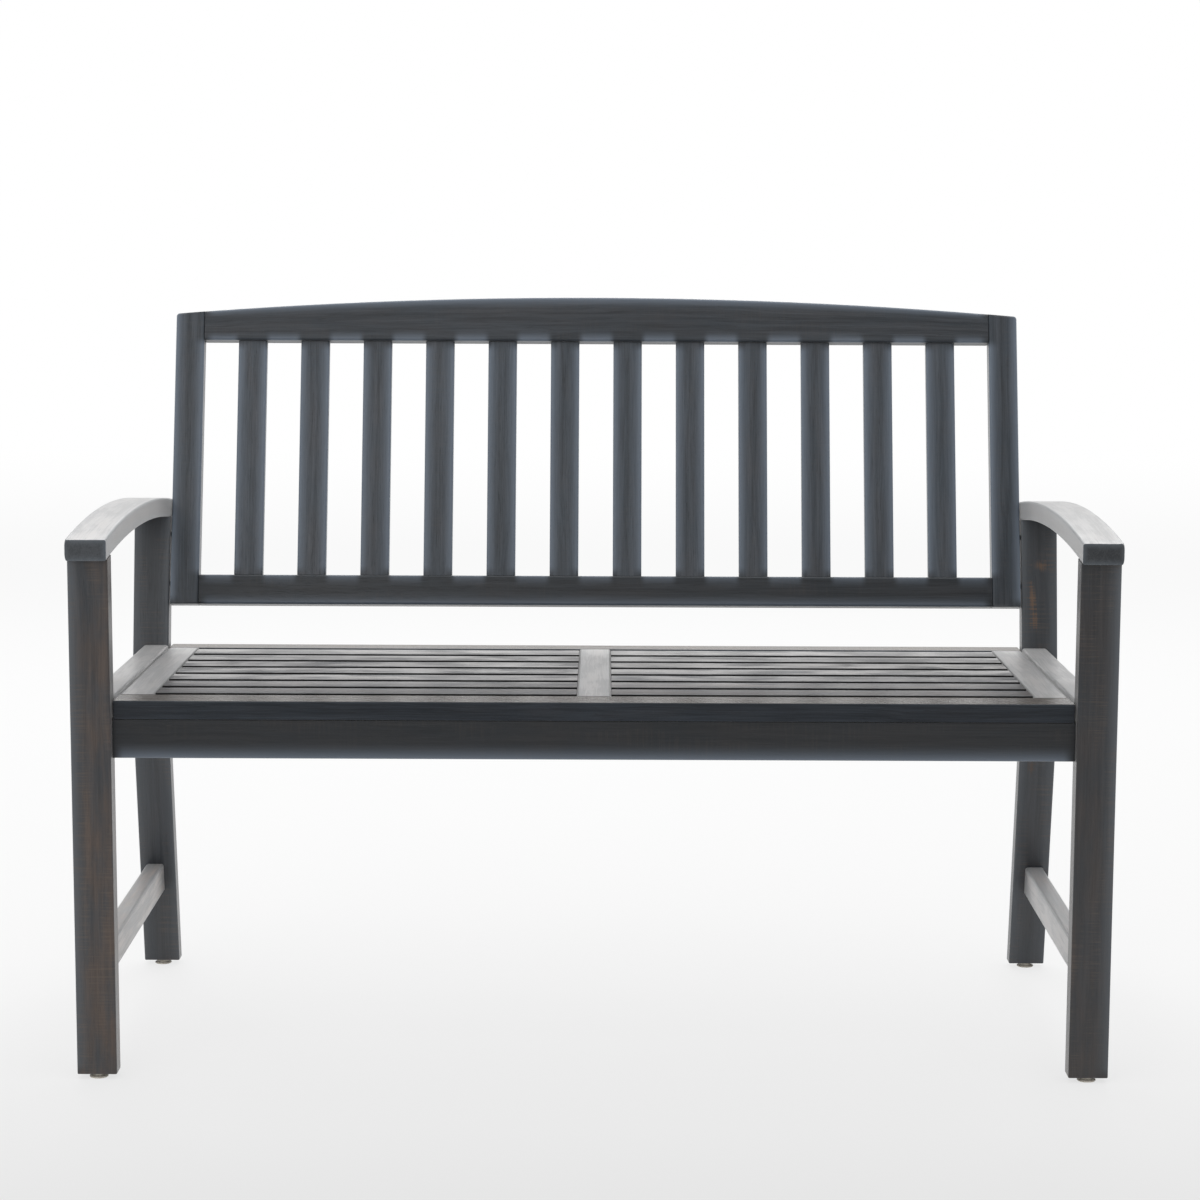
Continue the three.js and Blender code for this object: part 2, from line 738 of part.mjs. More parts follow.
/** A bench place (Y, Z) in the leaning back frame's own directions. */
function inBackFrame({ y, z, tipX }) {
  const [depth, height] = [y - backFootY, z - backFootZ];
  return {
    y: depth * Math.cos(lean) - height * Math.sin(lean),
    z: depth * Math.sin(lean) + height * Math.cos(lean),
    tipX,
  };
}

/** The outline of a stile, whose top follows the arch to a rounded outer corner. */
function stileOutline(side) {
  const shape = new THREE.Shape();
  const roundX = frameHalf - backCornerRound;
  shape.moveTo(side * backStileInnerX, 0);
  shape.lineTo(side * frameHalf, 0);
  shape.lineTo(side * frameHalf, archAt(frameHalf) - backCornerRound);
  shape.quadraticCurveTo(side * frameHalf, archAt(frameHalf), side * roundX, archAt(roundX));
  shape.lineTo(side * backStileInnerX, archAt(backStileInnerX));
  return shape.closePath();
}

/** The outline of the top rail, run past its shoulders so that they can be cut square. */
function topRailOutline() {
  const shape = new THREE.Shape();
  const half = backStileInnerX + cutOverrun;
  const angle = Math.acos(half / backArchRadius);
  shape.absarc(0, backCrown - backArchRadius, backArchRadius, Math.PI - angle, angle, true);
  shape.lineTo(half, backRailBottom);
  shape.lineTo(-half, backRailBottom);
  return shape.closePath();
}

/** The back: two stiles, a straight bottom rail, an arched top rail and upright slats. */
function backFrame() {
  const back = new THREE.Group();
  const y = [0, backThickness];
  const shoulder = backStileInnerX - jointGap;
  const railX = [-shoulder, shoulder];
  const railHeights = {
    bottom: [0, backBottomRailHeight],
    top: [backRailBottom, archAt(backStileInnerX)],
  };
  const railTenon = (z, side) => ({
    x: sided(widened([backStileInnerX, backStileInnerX], tenonDepthShare * backStileWidth), side),
    y: middle(y, tenonThicknessShare),
    z: middle(z, tenonWidthShare),
  });

  for (const [label, side] of [['left', -1], ['right', 1]]) {
    let stile = frontPlate(stileOutline(side), y, { round: boardRound });
    stile = withMortises(stile, Object.values(railHeights).map((z) => railTenon(z, side)));
    for (const share of backBoltShares) {
      stile = stile.subtract(boltHole(inBackFrame(backBolt(share)), side));
    }
    back.add(piece(`back_${label}_stile`, stile, stainedWood));
  }

  const slatY = middle(y, backSlatThickness / backThickness);
  const gap = (2 * backStileInnerX - backSlatCount * backSlatWidth) / (backSlatCount + 1);
  const slatTenons = [];
  for (let index = 0; index < backSlatCount; index += 1) {
    const left = -backStileInnerX + gap + index * (backSlatWidth + gap);
    const x = [left, left + backSlatWidth];
    const openingZ = [backBottomRailHeight, backRailBottom];
    const tenon = {
      x: middle(x, tenonWidthShare),
      y: middle(slatY, tenonThicknessShare),
      z: widened(openingZ, backSlatTenon),
    };
    slatTenons.push(tenon);
    const solid = board({ x, y: slatY, z: widened(openingZ, -jointGap) }, 'z', slatRound).add(block(tenon));
    back.add(piece(`back_slat_${index + 1}`, solid, stainedWood));
  }

  const rails = {
    bottom: board({ x: railX, y, z: railHeights.bottom }, 'x', boardRound),
    top: frontPlate(topRailOutline(), y, { round: boardRound, steps: archSteps })
      .intersect(block({ x: railX, y: widened(y, cutOverrun), z: widened([0, backCrown], cutOverrun) })),
  };
  for (const [label, rail] of Object.entries(rails)) {
    let solid = rail;
    for (const side of [-1, 1]) {
      solid = solid.add(block(railTenon(railHeights[label], side)));
    }
    back.add(piece(`back_${label}_rail`, withMortises(solid, slatTenons), stainedWood));
  }

  back.position.set(0, backFootY, backFootZ);
  back.rotation.x = -lean;
  return back;
}

const bench = new THREE.Group();
bench.add(
  sideFrame('left', -1),
  sideFrame('right', 1),
  apron('front_apron', frontApronY),
  apron('rear_apron', rearApronY),
  seatFrame(),
  backFrame(),
);

// The origin is on the floor, below the middle of the bench's overall box
const bounds = new THREE.Box3().setFromObject(bench, true);
bench.position.y = -(bounds.min.y + bounds.max.y) / 2;

export default bench;
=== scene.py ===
"""A two-seat slatted garden bench in dark stained wood. Metres, +Z up, the front faces -Y."""

import logging
import math
import random
from dataclasses import dataclass, replace
from enum import Enum
from typing import Callable, Iterable, Sequence

import bmesh
import bpy
from mathutils import Matrix, Vector


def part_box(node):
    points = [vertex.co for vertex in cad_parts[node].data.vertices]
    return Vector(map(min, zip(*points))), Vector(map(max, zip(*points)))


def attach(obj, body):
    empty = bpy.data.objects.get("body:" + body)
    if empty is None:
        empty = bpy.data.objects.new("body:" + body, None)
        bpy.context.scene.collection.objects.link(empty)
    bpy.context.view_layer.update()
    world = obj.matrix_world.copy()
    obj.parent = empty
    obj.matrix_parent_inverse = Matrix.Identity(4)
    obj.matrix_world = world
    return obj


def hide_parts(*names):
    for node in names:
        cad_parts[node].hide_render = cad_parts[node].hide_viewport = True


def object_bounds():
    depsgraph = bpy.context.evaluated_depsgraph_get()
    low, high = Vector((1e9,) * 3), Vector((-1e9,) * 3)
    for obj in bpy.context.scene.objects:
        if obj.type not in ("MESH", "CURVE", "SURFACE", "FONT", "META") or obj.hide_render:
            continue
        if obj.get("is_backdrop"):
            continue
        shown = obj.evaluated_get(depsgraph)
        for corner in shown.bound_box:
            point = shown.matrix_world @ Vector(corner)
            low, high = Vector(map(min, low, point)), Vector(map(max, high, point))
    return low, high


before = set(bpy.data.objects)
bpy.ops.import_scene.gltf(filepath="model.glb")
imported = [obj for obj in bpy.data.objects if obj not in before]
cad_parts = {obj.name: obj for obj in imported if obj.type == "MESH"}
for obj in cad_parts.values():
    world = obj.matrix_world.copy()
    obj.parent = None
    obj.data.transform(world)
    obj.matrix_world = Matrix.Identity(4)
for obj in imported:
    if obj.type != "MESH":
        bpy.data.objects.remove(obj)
solid_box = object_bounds()
log = logging.getLogger("bench")

Span = tuple[float, float]
Place = tuple[float, float, float]

# What each corner of a board knows: its place in the wood, the board's half sizes and its look
ATTRIBUTES = ("wood_place", "wood_size", "wood_board")

# An edge is sharp when its faces meet at more than this, and it shades sharp past the second
SHARP_ANGLE = math.radians(30)
CREASE_ANGLE = math.radians(50)

# Two heights closer than this touch, and two points closer than this are one
TOUCH = 1e-5
SAME = 1e-7

# Two directions run the same way when their product is more than this
ALIGNED = 0.9


class Grain(Enum):
    """The way in which a board's fibres run."""

    SIDEWAYS = 0
    INWARDS = 1
    UPWARDS = 2


class Side(Enum):
    """A side of the bench, seen by a viewer who faces its front."""

    LEFT = -1
    RIGHT = 1

    @property
    def word(self) -> str:
        """The side's name in lower case."""
        return self.name.lower()


def middle(span: Span) -> float:
    """The middle of a span."""
    return (span[0] + span[1]) / 2


def show(name: str, data: bpy.types.ID) -> bpy.types.Object:
    """Puts new data into the scene as an object.

    Args:
        name: The object's name.
        data: Its mesh, lamp or camera.

    Returns:
        The object.
    """
    shown = bpy.data.objects.new(name, data)
    bpy.context.scene.collection.objects.link(shown)
    return shown


@dataclass(frozen=True)
class Layout:
    """Sizes that the sub-assemblies share. Depths run from the front legs' front faces."""

    leg_outer: float = 0.600
    leg_inner: float = 0.5538
    leg_foot: float = 0.006
    frame_gap: float = 0.0016
    joint_gap: float = 0.0003
    seat_height: float = 0.4455
    seat_fall: float = math.radians(1.0)
    seat_setback: float = 0.011
    seat_depth: float = 0.4865
    seat_thickness: float = 0.0215
    rear_leg_depth: float = 0.024
    splay: float = math.radians(10.8)
    knee_radius: float = 0.300
    knee_drop: float = 0.085
    knee_inset: float = 0.046
    arm_crown_rise: float = 0.1993
    arm_radius: float = 2.340
    arm_thickness: float = 0.024
    arm_nose: float = 0.008
    arm_crown_share: float = 0.43
    apron_height: float = 0.0452

    @property
    def frame_half(self) -> float:
        """Half the width of the seat and back frames."""
        return self.leg_inner - self.frame_gap

    @property
    def seat_rear(self) -> float:
        """Depth of the seat's rear edge."""
        return self.seat_setback + self.seat_depth * math.cos(self.seat_fall)

    @property
    def knee_height(self) -> float:
        """Height of the rear legs' knees."""
        return self.seat_height - self.knee_drop

    @property
    def knee_depth(self) -> float:
        """Depth at which the rear leg's two front faces would meet."""
        return self.seat_rear - self.knee_inset

    @property
    def knee_centre(self) -> Vector:
        """The centre of the knee's bend, in the leg's middle plane."""
        depth = self.knee_depth + self.knee_radius / math.cos(self.splay)
        return Vector(((self.leg_inner + self.leg_outer) / 2, depth, self.knee_height))

    @property
    def arm_crown(self) -> float:
        """Height of the armrest's highest line."""
        return self.seat_height + self.arm_crown_rise

    @property
    def arm_front(self) -> float:
        """Depth of the armrest's front end."""
        return -self.arm_nose

    @property
    def arm_rear(self) -> float:
        """Depth of the armrest's rear end, above the rear leg's rear face."""
        front = self.rear_leg_front_at(self.arm_crown - self.arm_thickness)
        return front + self.rear_leg_depth / math.cos(self.splay)

    @property
    def arm_crown_depth(self) -> float:
        """Depth of the armrest's highest line."""
        return self.arm_front + self.arm_crown_share * (self.arm_rear - self.arm_front)

    def rear_leg_front_at(self, height: float) -> float:
        """Depth of the rear leg's front face.

        Args:
            height: Height above the floor.

        Returns:
            The depth, on one of two leaning lines or on the arc that joins them.
        """
        offset = abs(height - self.knee_height)
        if offset < self.knee_radius * math.sin(self.splay):
            return self.knee_centre.y - math.sqrt(self.knee_radius**2 - offset**2)
        return self.knee_depth + offset * math.tan(self.splay)

    def arm_under_at(self, depth: float) -> float:
        """Height of the armrest's underside.

        Args:
            depth: Depth behind the front legs' front faces.

        Returns:
            The height above the floor.
        """
        radius = self.arm_radius - self.arm_thickness
        centre = self.arm_crown - self.arm_radius
        return centre + math.sqrt(radius**2 - (depth - self.arm_crown_depth) ** 2)

    def seat_top_at(self, depth: float) -> float:
        """Height of the seat's top face at a depth."""
        return self.seat_height - (depth - self.seat_setback) * math.tan(self.seat_fall)

    def seat_under_at(self, depth: float) -> float:
        """Height of the seat's underside at a depth."""
        return self.seat_top_at(depth) - self.seat_thickness / math.cos(self.seat_fall)

    def apron_heights(self, depth: Span) -> Span:
        """The bottom and top of an apron whose top edge lies under the seat."""
        top = self.seat_under_at(depth[1]) - self.joint_gap
        return (top - self.apron_height, top)


@dataclass(frozen=True)
class Fibres:
    """How the fibres run: straight, or bent round a centre and straight past the bend."""

    centre: Vector
    outwards: Vector
    forwards: Vector
    radius: float = 0.0
    half_angle: float = 0.0

    def at(self, point: Vector) -> Vector:
        """Finds a point's place in the wood.

        Args:
            point: A point of the piece, in its own group's directions.

        Returns:
            The distances along the fibres, across the piece and through it, from its middle.
        """
        offset = point - self.centre
        out, ahead = offset.dot(self.outwards), offset.dot(self.forwards)
        across = offset.dot(self.forwards.cross(self.outwards))
        angle = math.atan2(ahead, out)
        if abs(angle) < self.half_angle:
            return Vector((angle * self.radius, across, math.hypot(out, ahead) - self.radius))
        end = math.copysign(self.half_angle, angle)
        along = end * self.radius - out * math.sin(end) + ahead * math.cos(end)
        return Vector((along, across, out * math.cos(end) + ahead * math.sin(end) - self.radius))


@dataclass(frozen=True)
class BoardLook:
    """What tells one board from the next: its cut from the log, its tone and its warmth."""

    cut: float = 0.0
    tone: float = 1.0
    warmth: float = 0.5


class Timber:
    """A piece of wood while it is shaped."""

    def __init__(self, name: str, fibres: Fibres, size: Sequence[float]) -> None:
        """Starts a piece with no shape yet.

        Args:
            name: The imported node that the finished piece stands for.
            fibres: How its fibres run.
            size: Half its length, width and thickness, in the fibres' directions.
        """
        self.name = name
        self.fibres = fibres
        self.size = Vector(size)
        self.mesh = bmesh.new()
        self.drop_at: Callable[[float], float] | None = None

    @classmethod
    def board(cls, name: str, spans: tuple[Span, Span, Span], grain: Grain) -> "Timber":
        """Starts a straight board.

        Args:
            name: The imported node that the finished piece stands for.
            spans: Its extent on X, Y and Z.
            grain: The way in which its fibres run.

        Returns:
            The board, with square edges.
        """
        centre = Vector([middle(span) for span in spans])
        extent = Vector([high - low for low, high in spans])
        thin = min((i for i in range(3) if i != grain.value), key=lambda i: extent[i])
        wide = 3 - grain.value - thin
        axes = Matrix.Identity(3)
        fibres = Fibres(centre, outwards=axes[thin], forwards=axes[grain.value])
        size = (extent[grain.value] / 2, extent[wide] / 2, extent[thin] / 2)
        timber = cls(name, fibres, size)
        bmesh.ops.create_cube(timber.mesh, size=1.0)
        bmesh.ops.scale(timber.mesh, vec=extent, verts=timber.mesh.verts)
        bmesh.ops.translate(timber.mesh, vec=centre, verts=timber.mesh.verts)
        return timber

    def sharp_edges(self, along: Vector | None = None) -> list[bmesh.types.BMEdge]:
        """Finds the edges that aren't rounded yet.

        Args:
            along: The way that they run, or None for all of them.

        Returns:
            The edges.
        """
        found = []
        for edge in self.mesh.edges:
            if not edge.is_manifold or edge.calc_face_angle() < SHARP_ANGLE:
                continue
            run = (edge.verts[1].co - edge.verts[0].co).normalized()
            if along is None or abs(run.dot(along)) > ALIGNED:
                found.append(edge)
        return found

    def ease(self, radius: float, steps: int = 4, along: Vector | None = None) -> "Timber":
        """Rounds sharp edges.

        Args:
            radius: Radius of the rounding.
            steps: Facets across it.
            along: The way that the edges run, or None for every sharp edge.

        Returns:
            The same piece.
        """
        return self.ease_edges(self.sharp_edges(along), radius, steps)

    def ease_long(self, radius: float, steps: int = 4) -> "Timber":
        """Rounds the edges that run with the fibres."""
        return self.ease(radius, steps, self.fibres.forwards)

    def ease_towards(self, way: Sequence[float], radius: float, steps: int = 4) -> "Timber":
        """Rounds the long edges on one side of a board.

        Args:
            way: The direction of that side.
            radius: Radius of the rounding.
            steps: Facets across it.

        Returns:
            The same piece.
        """
        edges = []
        for edge in self.sharp_edges(self.fibres.forwards):
            if (edge.verts[0].co - self.fibres.centre).dot(Vector(way)) > 0:
                edges.append(edge)
        return self.ease_edges(edges, radius, steps)

    def keep_one_edge(self, by: float) -> "Timber":
        """Moves the wood's middle across, so that only one long edge counts as near the outside.

        Args:
            by: How far the middle moves.

        Returns:
            The same piece.
        """
        across = self.fibres.forwards.cross(self.fibres.outwards)
        self.fibres = replace(self.fibres, centre=self.fibres.centre + by * across)
        self.size.y += by
        return self

    def ease_edges(
        self, edges: Iterable[bmesh.types.BMEdge], radius: float, steps: int = 4
    ) -> "Timber":
        """Rounds the given edges.

        Args:
            edges: Edges of the piece.
            radius: Radius of the rounding.
            steps: Facets across it.

        Returns:
            The same piece.
        """
        bmesh.ops.bevel(
            self.mesh, geom=list(edges), offset=radius, offset_type="OFFSET", segments=steps,
            profile=0.5, affect="EDGES", clamp_overlap=True, material=-1,
        )
        return self

    def ease_corners(
        self, corners: Iterable[bmesh.types.BMVert], radius: float, steps: int
    ) -> None:
        """Rounds corners of a flat outline.

        Args:
            corners: The outline's vertices.
            radius: Radius of the rounding.
            steps: Facets across it.
        """
        bmesh.ops.bevel(
            self.mesh, geom=list(corners), offset=radius, segments=steps, profile=0.5,
            affect="VERTICES", material=-1,
        )

    def trim(
        self, point: Sequence[float], normal: Sequence[float], keep: bool = False
    ) -> "Timber":
        """Saws off what lies beyond a plane, or only adds vertices where it passes.

        Args:
            point: A point on the plane.
            normal: The direction of the waste.
            keep: Whether the waste is kept.

        Returns:
            The same piece, closed at the cut.
        """
        cut = bmesh.ops.bisect_plane(
            self.mesh, geom=[*self.mesh.verts, *self.mesh.edges, *self.mesh.faces],
            dist=SAME, plane_co=point, plane_no=normal, clear_outer=not keep,
        )
        if not keep:
            rim = [part for part in cut["geom_cut"] if isinstance(part, bmesh.types.BMEdge)]
            bmesh.ops.holes_fill(self.mesh, edges=rim, sides=0)
        return self

    def take_out(self, cutter: bmesh.types.BMesh) -> "Timber":
        """Cuts another shape out of the piece.

        Args:
            cutter: The shape to take out, which is used up.

        Returns:
            The same piece.
        """
        helpers = []
        for shape in (self.mesh, cutter):
            data = bpy.data.meshes.new("helper")
            shape.to_mesh(data)
            helpers.append(show("helper", data))
        blank, tool = helpers
        cut = blank.modifiers.new("cut", "BOOLEAN")
        cut.operation = "DIFFERENCE"
        cut.solver = "EXACT"
        cut.object = tool
        graph = bpy.context.evaluated_depsgraph_get()
        result = bpy.data.meshes.new_from_object(blank.evaluated_get(graph))
        self.mesh.clear()
        self.mesh.from_mesh(result)
        cutter.free()
        for data in (result, blank.data, tool.data):
            bpy.data.meshes.remove(data)
        return self

    def place_of(self, point: Vector) -> Vector:
        """Finds a point's place in the wood, with an arched edge counted as straight.

        Args:
            point: A point of the piece, in its own group's directions.

        Returns:
            The distances along the fibres, across the piece and through it, from its middle.
        """
        place = self.fibres.at(point)
        if self.drop_at:
            half = self.size.y
            place.y = 2 * half * (place.y + half) / (2 * half - self.drop_at(place.x)) - half
        return place

    def finish(
        self, finish: bpy.types.Material, look: BoardLook, place: Matrix, mirrored: bool = False
    ) -> bpy.types.Object:
        """Turns the shape into a finished object in its place on the bench.

        Args:
            finish: The wood's material.
            look: What tells this board from the next.
            place: From the group's directions to the model's.
            mirrored: Whether the piece is mirrored to the other side first.

        Returns:
            The object, riding on the bench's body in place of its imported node.
        """
        mesh = self.mesh
        layers = mesh.verts.layers.float_vector
        in_wood, half_size, kind = (layers.new(title) for title in ATTRIBUTES)
        for vert in mesh.verts:
            vert[in_wood] = self.place_of(vert.co)
            vert[half_size] = self.size
            vert[kind] = Vector((look.cut, look.tone, look.warmth))
        if mirrored:
            bmesh.ops.scale(mesh, vec=(-1, 1, 1), verts=mesh.verts)
        bmesh.ops.transform(mesh, matrix=place, verts=mesh.verts)
        bmesh.ops.recalc_face_normals(mesh, faces=mesh.faces)
        for face in mesh.faces:
            face.smooth = True
        for edge in mesh.edges:
            edge.smooth = not edge.is_manifold or edge.calc_face_angle() < CREASE_ANGLE
        data = bpy.data.meshes.new(self.name)
        mesh.to_mesh(data)
        mesh.free()
        data.materials.append(finish)
        piece = show(f"{self.name}_wood", data)
        weighted = piece.modifiers.new("flat_faces", "WEIGHTED_NORMAL")
        weighted.keep_sharp = True
        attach(piece, "root")
        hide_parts(self.name)
        log.info("%s: %d faces", piece.name, len(data.polygons))
        return piece


class Term:
    """A value in a node tree, which plain sums can take in."""

    def __init__(self, nodes: "Nodes", socket: bpy.types.NodeSocket) -> None:
        """Takes the socket that gives the value."""
        self.nodes = nodes
        self.socket = socket

    def __add__(self, other: "Term | float") -> "Term":
        """This value and another added."""
        return self.nodes.math("ADD", self, other)

    def __sub__(self, other: "Term | float") -> "Term":
        """This value less another."""
        return self.nodes.math("SUBTRACT", self, other)

    def __rsub__(self, other: float) -> "Term":
        """A number less this value."""
        return self.nodes.math("SUBTRACT", other, self)

    def __mul__(self, other: "Term | float") -> "Term":
        """This value times another."""
        return self.nodes.math("MULTIPLY", self, other)

    def __truediv__(self, other: "Term | float") -> "Term":
        """This value over another."""
        return self.nodes.math("DIVIDE", self, other)

    __radd__ = __add__
    __rmul__ = __mul__


Amount = Term | float
Terms = dict[str, Term]


class Nodes:
    """Adds nodes to a tree and links them."""

    def __init__(self, tree: bpy.types.NodeTree) -> None:
        """Takes a tree, whose nodes are cleared."""
        self.tree = tree
        tree.nodes.clear()

    def add(
        self, kind: str, inputs: dict[str | int, Amount | tuple | str] | None = None,
        **settings: str | bool | bpy.types.NodeTree,
    ) -> bpy.types.Node:
        """Adds a node.

        Args:
            kind: The node's type.
            inputs: Values or terms for its inputs, by name or number.
            settings: The node's own options.

        Returns:
            The node.
        """
        node = self.tree.nodes.new(kind)
        for name, value in settings.items():
            setattr(node, name, value)
        for key, value in (inputs or {}).items():
            if isinstance(value, Term):
                self.tree.links.new(value.socket, node.inputs[key])
            else:
                node.inputs[key].default_value = value
        return node

    def outputs(
        self, kind: str, inputs: dict | None = None, **settings: bpy.types.NodeTree
    ) -> Terms:
        """Adds a node and gives all its outputs by name."""
        node = self.add(kind, inputs, **settings)
        return {socket.name: Term(self, socket) for socket in node.outputs}

    def term(
        self, kind: str, inputs: dict | None = None, output: int | str = 0, **settings: str | bool
    ) -> Term:
        """Adds a node and gives one of its outputs."""
        return Term(self, self.add(kind, inputs, **settings).outputs[output])

    def math(self, operation: str, *values: Amount, clamp: bool = False) -> Term:
        """A sum of one to three amounts."""
        inputs = dict(enumerate(values))
        return self.term("ShaderNodeMath", inputs, operation=operation, use_clamp=clamp)

    def vector(self, operation: str, *values: Term | Place) -> Term:
        """A vector sum of one or two vectors.

        Args:
            operation: The node's operation.
            values: The vectors.

        Returns:
            The result, a number where the operation gives one.
        """
        output = 1 if operation == "LENGTH" else 0
        inputs = dict(enumerate(values))
        return self.term("ShaderNodeVectorMath", inputs, output, operation=operation)

    def spread(
        self, value: Amount, low: float, high: float, start: Amount = 0.0, stop: Amount = 1.0
    ) -> Term:
        """A value's range between two limits turned smoothly into another range."""
        inputs = {0: value, 1: low, 2: high, 3: start, 4: stop}
        return self.term("ShaderNodeMapRange", inputs, interpolation_type="SMOOTHSTEP")

    def blend(
        self, share: Amount, first: Term | Place, second: Term | Place, how: str = "MIX"
    ) -> Term:
        """Two colours mixed by a share of the second.

        Args:
            share: The second colour's share.
            first: The first colour.
            second: The second colour.
            how: How they are mixed.

        Returns:
            The mixed colour.
        """
        first, second = (c if isinstance(c, Term) else (*c, 1.0) for c in (first, second))
        inputs = {0: share, 6: first, 7: second}
        return self.term("ShaderNodeMix", inputs, 2, data_type="RGBA", blend_type=how)

    def blend_values(self, share: Amount, first: Amount, second: Amount) -> Term:
        """Two values mixed by a share of the second."""
        return self.term("ShaderNodeMix", {0: share, 2: first, 3: second})

    def parts(self, vector: Term) -> list[Term]:
        """A vector's three parts."""
        return list(self.outputs("ShaderNodeSeparateXYZ", {0: vector}).values())

    def noise(self, place: Term, scale: Place, detail: float, roughness: float = 0.5) -> Term:
        """Smooth noise about a half, at so many waves per metre each way.

        Args:
            place: Where it is read.
            scale: Waves per metre, each way.
            detail: How many finer layers it has.
            roughness: How much the finer layers count.

        Returns:
            The noise.
        """
        scaled = self.vector("MULTIPLY", place, scale)
        inputs = {"Vector": scaled, "Scale": 1.0, "Detail": detail, "Roughness": roughness}
        return self.term("ShaderNodeTexNoise", inputs)


def weigh(terms: Terms, weights: dict[str, float]) -> Term:
    """Adds named terms, each times its weight."""
    return sum(terms[name] * weight for name, weight in weights.items())


def new_material(name: str) -> tuple[bpy.types.Material, Nodes]:
    """Makes an empty material and gives its nodes.

    Args:
        name: The material's name.

    Returns:
        The material and its nodes.
    """
    material = bpy.data.materials.new(name)
    material.use_nodes = True
    return material, Nodes(material.node_tree)


class Effect:
    """A node group that several finishes share. Each board has its own cut from the pattern."""

    extra_inputs: dict[str, float | None] = {}
    outputs: tuple[str, ...] = ()
    cut_step: Place = (0.0, 0.0, 0.0)

    def __init__(self, name: str) -> None:
        """Makes the group's sockets, then its nodes.

        Args:
            name: The group's name.
        """
        self.tree = bpy.data.node_groups.new(name, "ShaderNodeTree")
        for title, value in {"Place": None, "Cut": 0.0, **self.extra_inputs}.items():
            kind = "NodeSocketVector" if value is None else "NodeSocketFloat"
            socket = self.tree.interface.new_socket(title, in_out="INPUT", socket_type=kind)
            if value is not None:
                socket.default_value = value
        for title in self.outputs:
            self.tree.interface.new_socket(title, in_out="OUTPUT", socket_type="NodeSocketFloat")
        nodes = Nodes(self.tree)
        given = nodes.outputs("NodeGroupInput")
        shift = nodes.term(
            "ShaderNodeVectorMath", {0: self.cut_step, "Scale": given["Cut"]}, operation="SCALE"
        )
        place = nodes.vector("ADD", given["Place"], shift)
        nodes.add("NodeGroupOutput", self.build(nodes, given, place))

    def build(self, nodes: Nodes, given: Terms, place: Term) -> Terms:
        """Makes the group's nodes.

        Args:
            nodes: The group's nodes.
            given: The group's inputs.
            place: The place in the wood that the board was cut from.

        Returns:
            What feeds each output.
        """
        raise NotImplementedError


class WoodFigure(Effect):
    """Streaks, pores and growth rings that follow the fibres, in waves per metre each way."""

    outputs = ("Streaks", "Lines", "Pores", "Rings")
    cut_step = (7.3, 3.1, 5.7)
    sway_waves: Place = (5.0, 26.0, 26.0)
    sway: float = 0.012
    streak_waves: Place = (4.5, 150.0, 150.0)
    streak_limits: Span = (0.28, 0.72)
    line_waves: Place = (16.0, 620.0, 620.0)
    line_limits: Span = (0.3, 0.7)
    pore_waves: Place = (55.0, 1500.0, 1500.0)
    pore_limits: Span = (0.62, 0.74)
    pith: Place = (0.0, 0.035, 0.06)
    ring_stretch: Place = (0.02, 1.0, 1.0)
    ring_pace: float = 1150.0
    ring_waver: float = 5.0

    def build(self, nodes: Nodes, given: Terms, place: Term) -> Terms:
        """Makes the group's nodes.

        Args:
            nodes: The group's nodes.
            given: The group's inputs.
            place: The place in the wood that the board was cut from.

        Returns:
            What feeds each output.
        """
        sway = (nodes.noise(place, self.sway_waves, detail=2.0) - 0.5) * self.sway
        swayed = nodes.vector("ADD", place, nodes.term("ShaderNodeCombineXYZ", {1: sway, 2: sway}))
        streaks = nodes.noise(swayed, self.streak_waves, detail=4.0, roughness=0.6)
        lines = nodes.noise(swayed, self.line_waves, detail=3.0, roughness=0.55)
        pores = nodes.noise(swayed, self.pore_waves, detail=1.0)
        flat = nodes.vector("MULTIPLY", nodes.vector("ADD", swayed, self.pith), self.ring_stretch)
        radius = nodes.vector("LENGTH", flat) * self.ring_pace
        rings = nodes.math("SINE", radius + streaks * self.ring_waver)
        return {
            "Streaks": nodes.spread(streaks, *self.streak_limits),
            "Lines": nodes.spread(lines, *self.line_limits),
            "Pores": nodes.spread(pores, *self.pore_limits),
            "Rings": rings * 0.5 + 0.5,
        }


class SawMarks(Effect):
    """Fine bands across the fibres that the mill's saw left in places."""

    outputs = ("Marks",)
    cut_step = (2.9, 8.3, 1.7)
    band_waves: Place = (420.0, 14.0, 14.0)
    band_limits: Span = (0.45, 0.68)
    patch_waves: Place = (9.0, 45.0, 45.0)
    patch_limits: Span = (0.42, 0.62)

    def build(self, nodes: Nodes, given: Terms, place: Term) -> Terms:
        """Makes the group's nodes.

        Args:
            nodes: The group's nodes.
            given: The group's inputs.
            place: The place in the wood that the board was cut from.

        Returns:
            What feeds each output.
        """
        bands = nodes.noise(place, self.band_waves, detail=2.0, roughness=0.6)
        patches = nodes.noise(place, self.patch_waves, detail=2.0)
        marks = nodes.spread(bands, *self.band_limits) * nodes.spread(patches, *self.patch_limits)
        return {"Marks": marks}


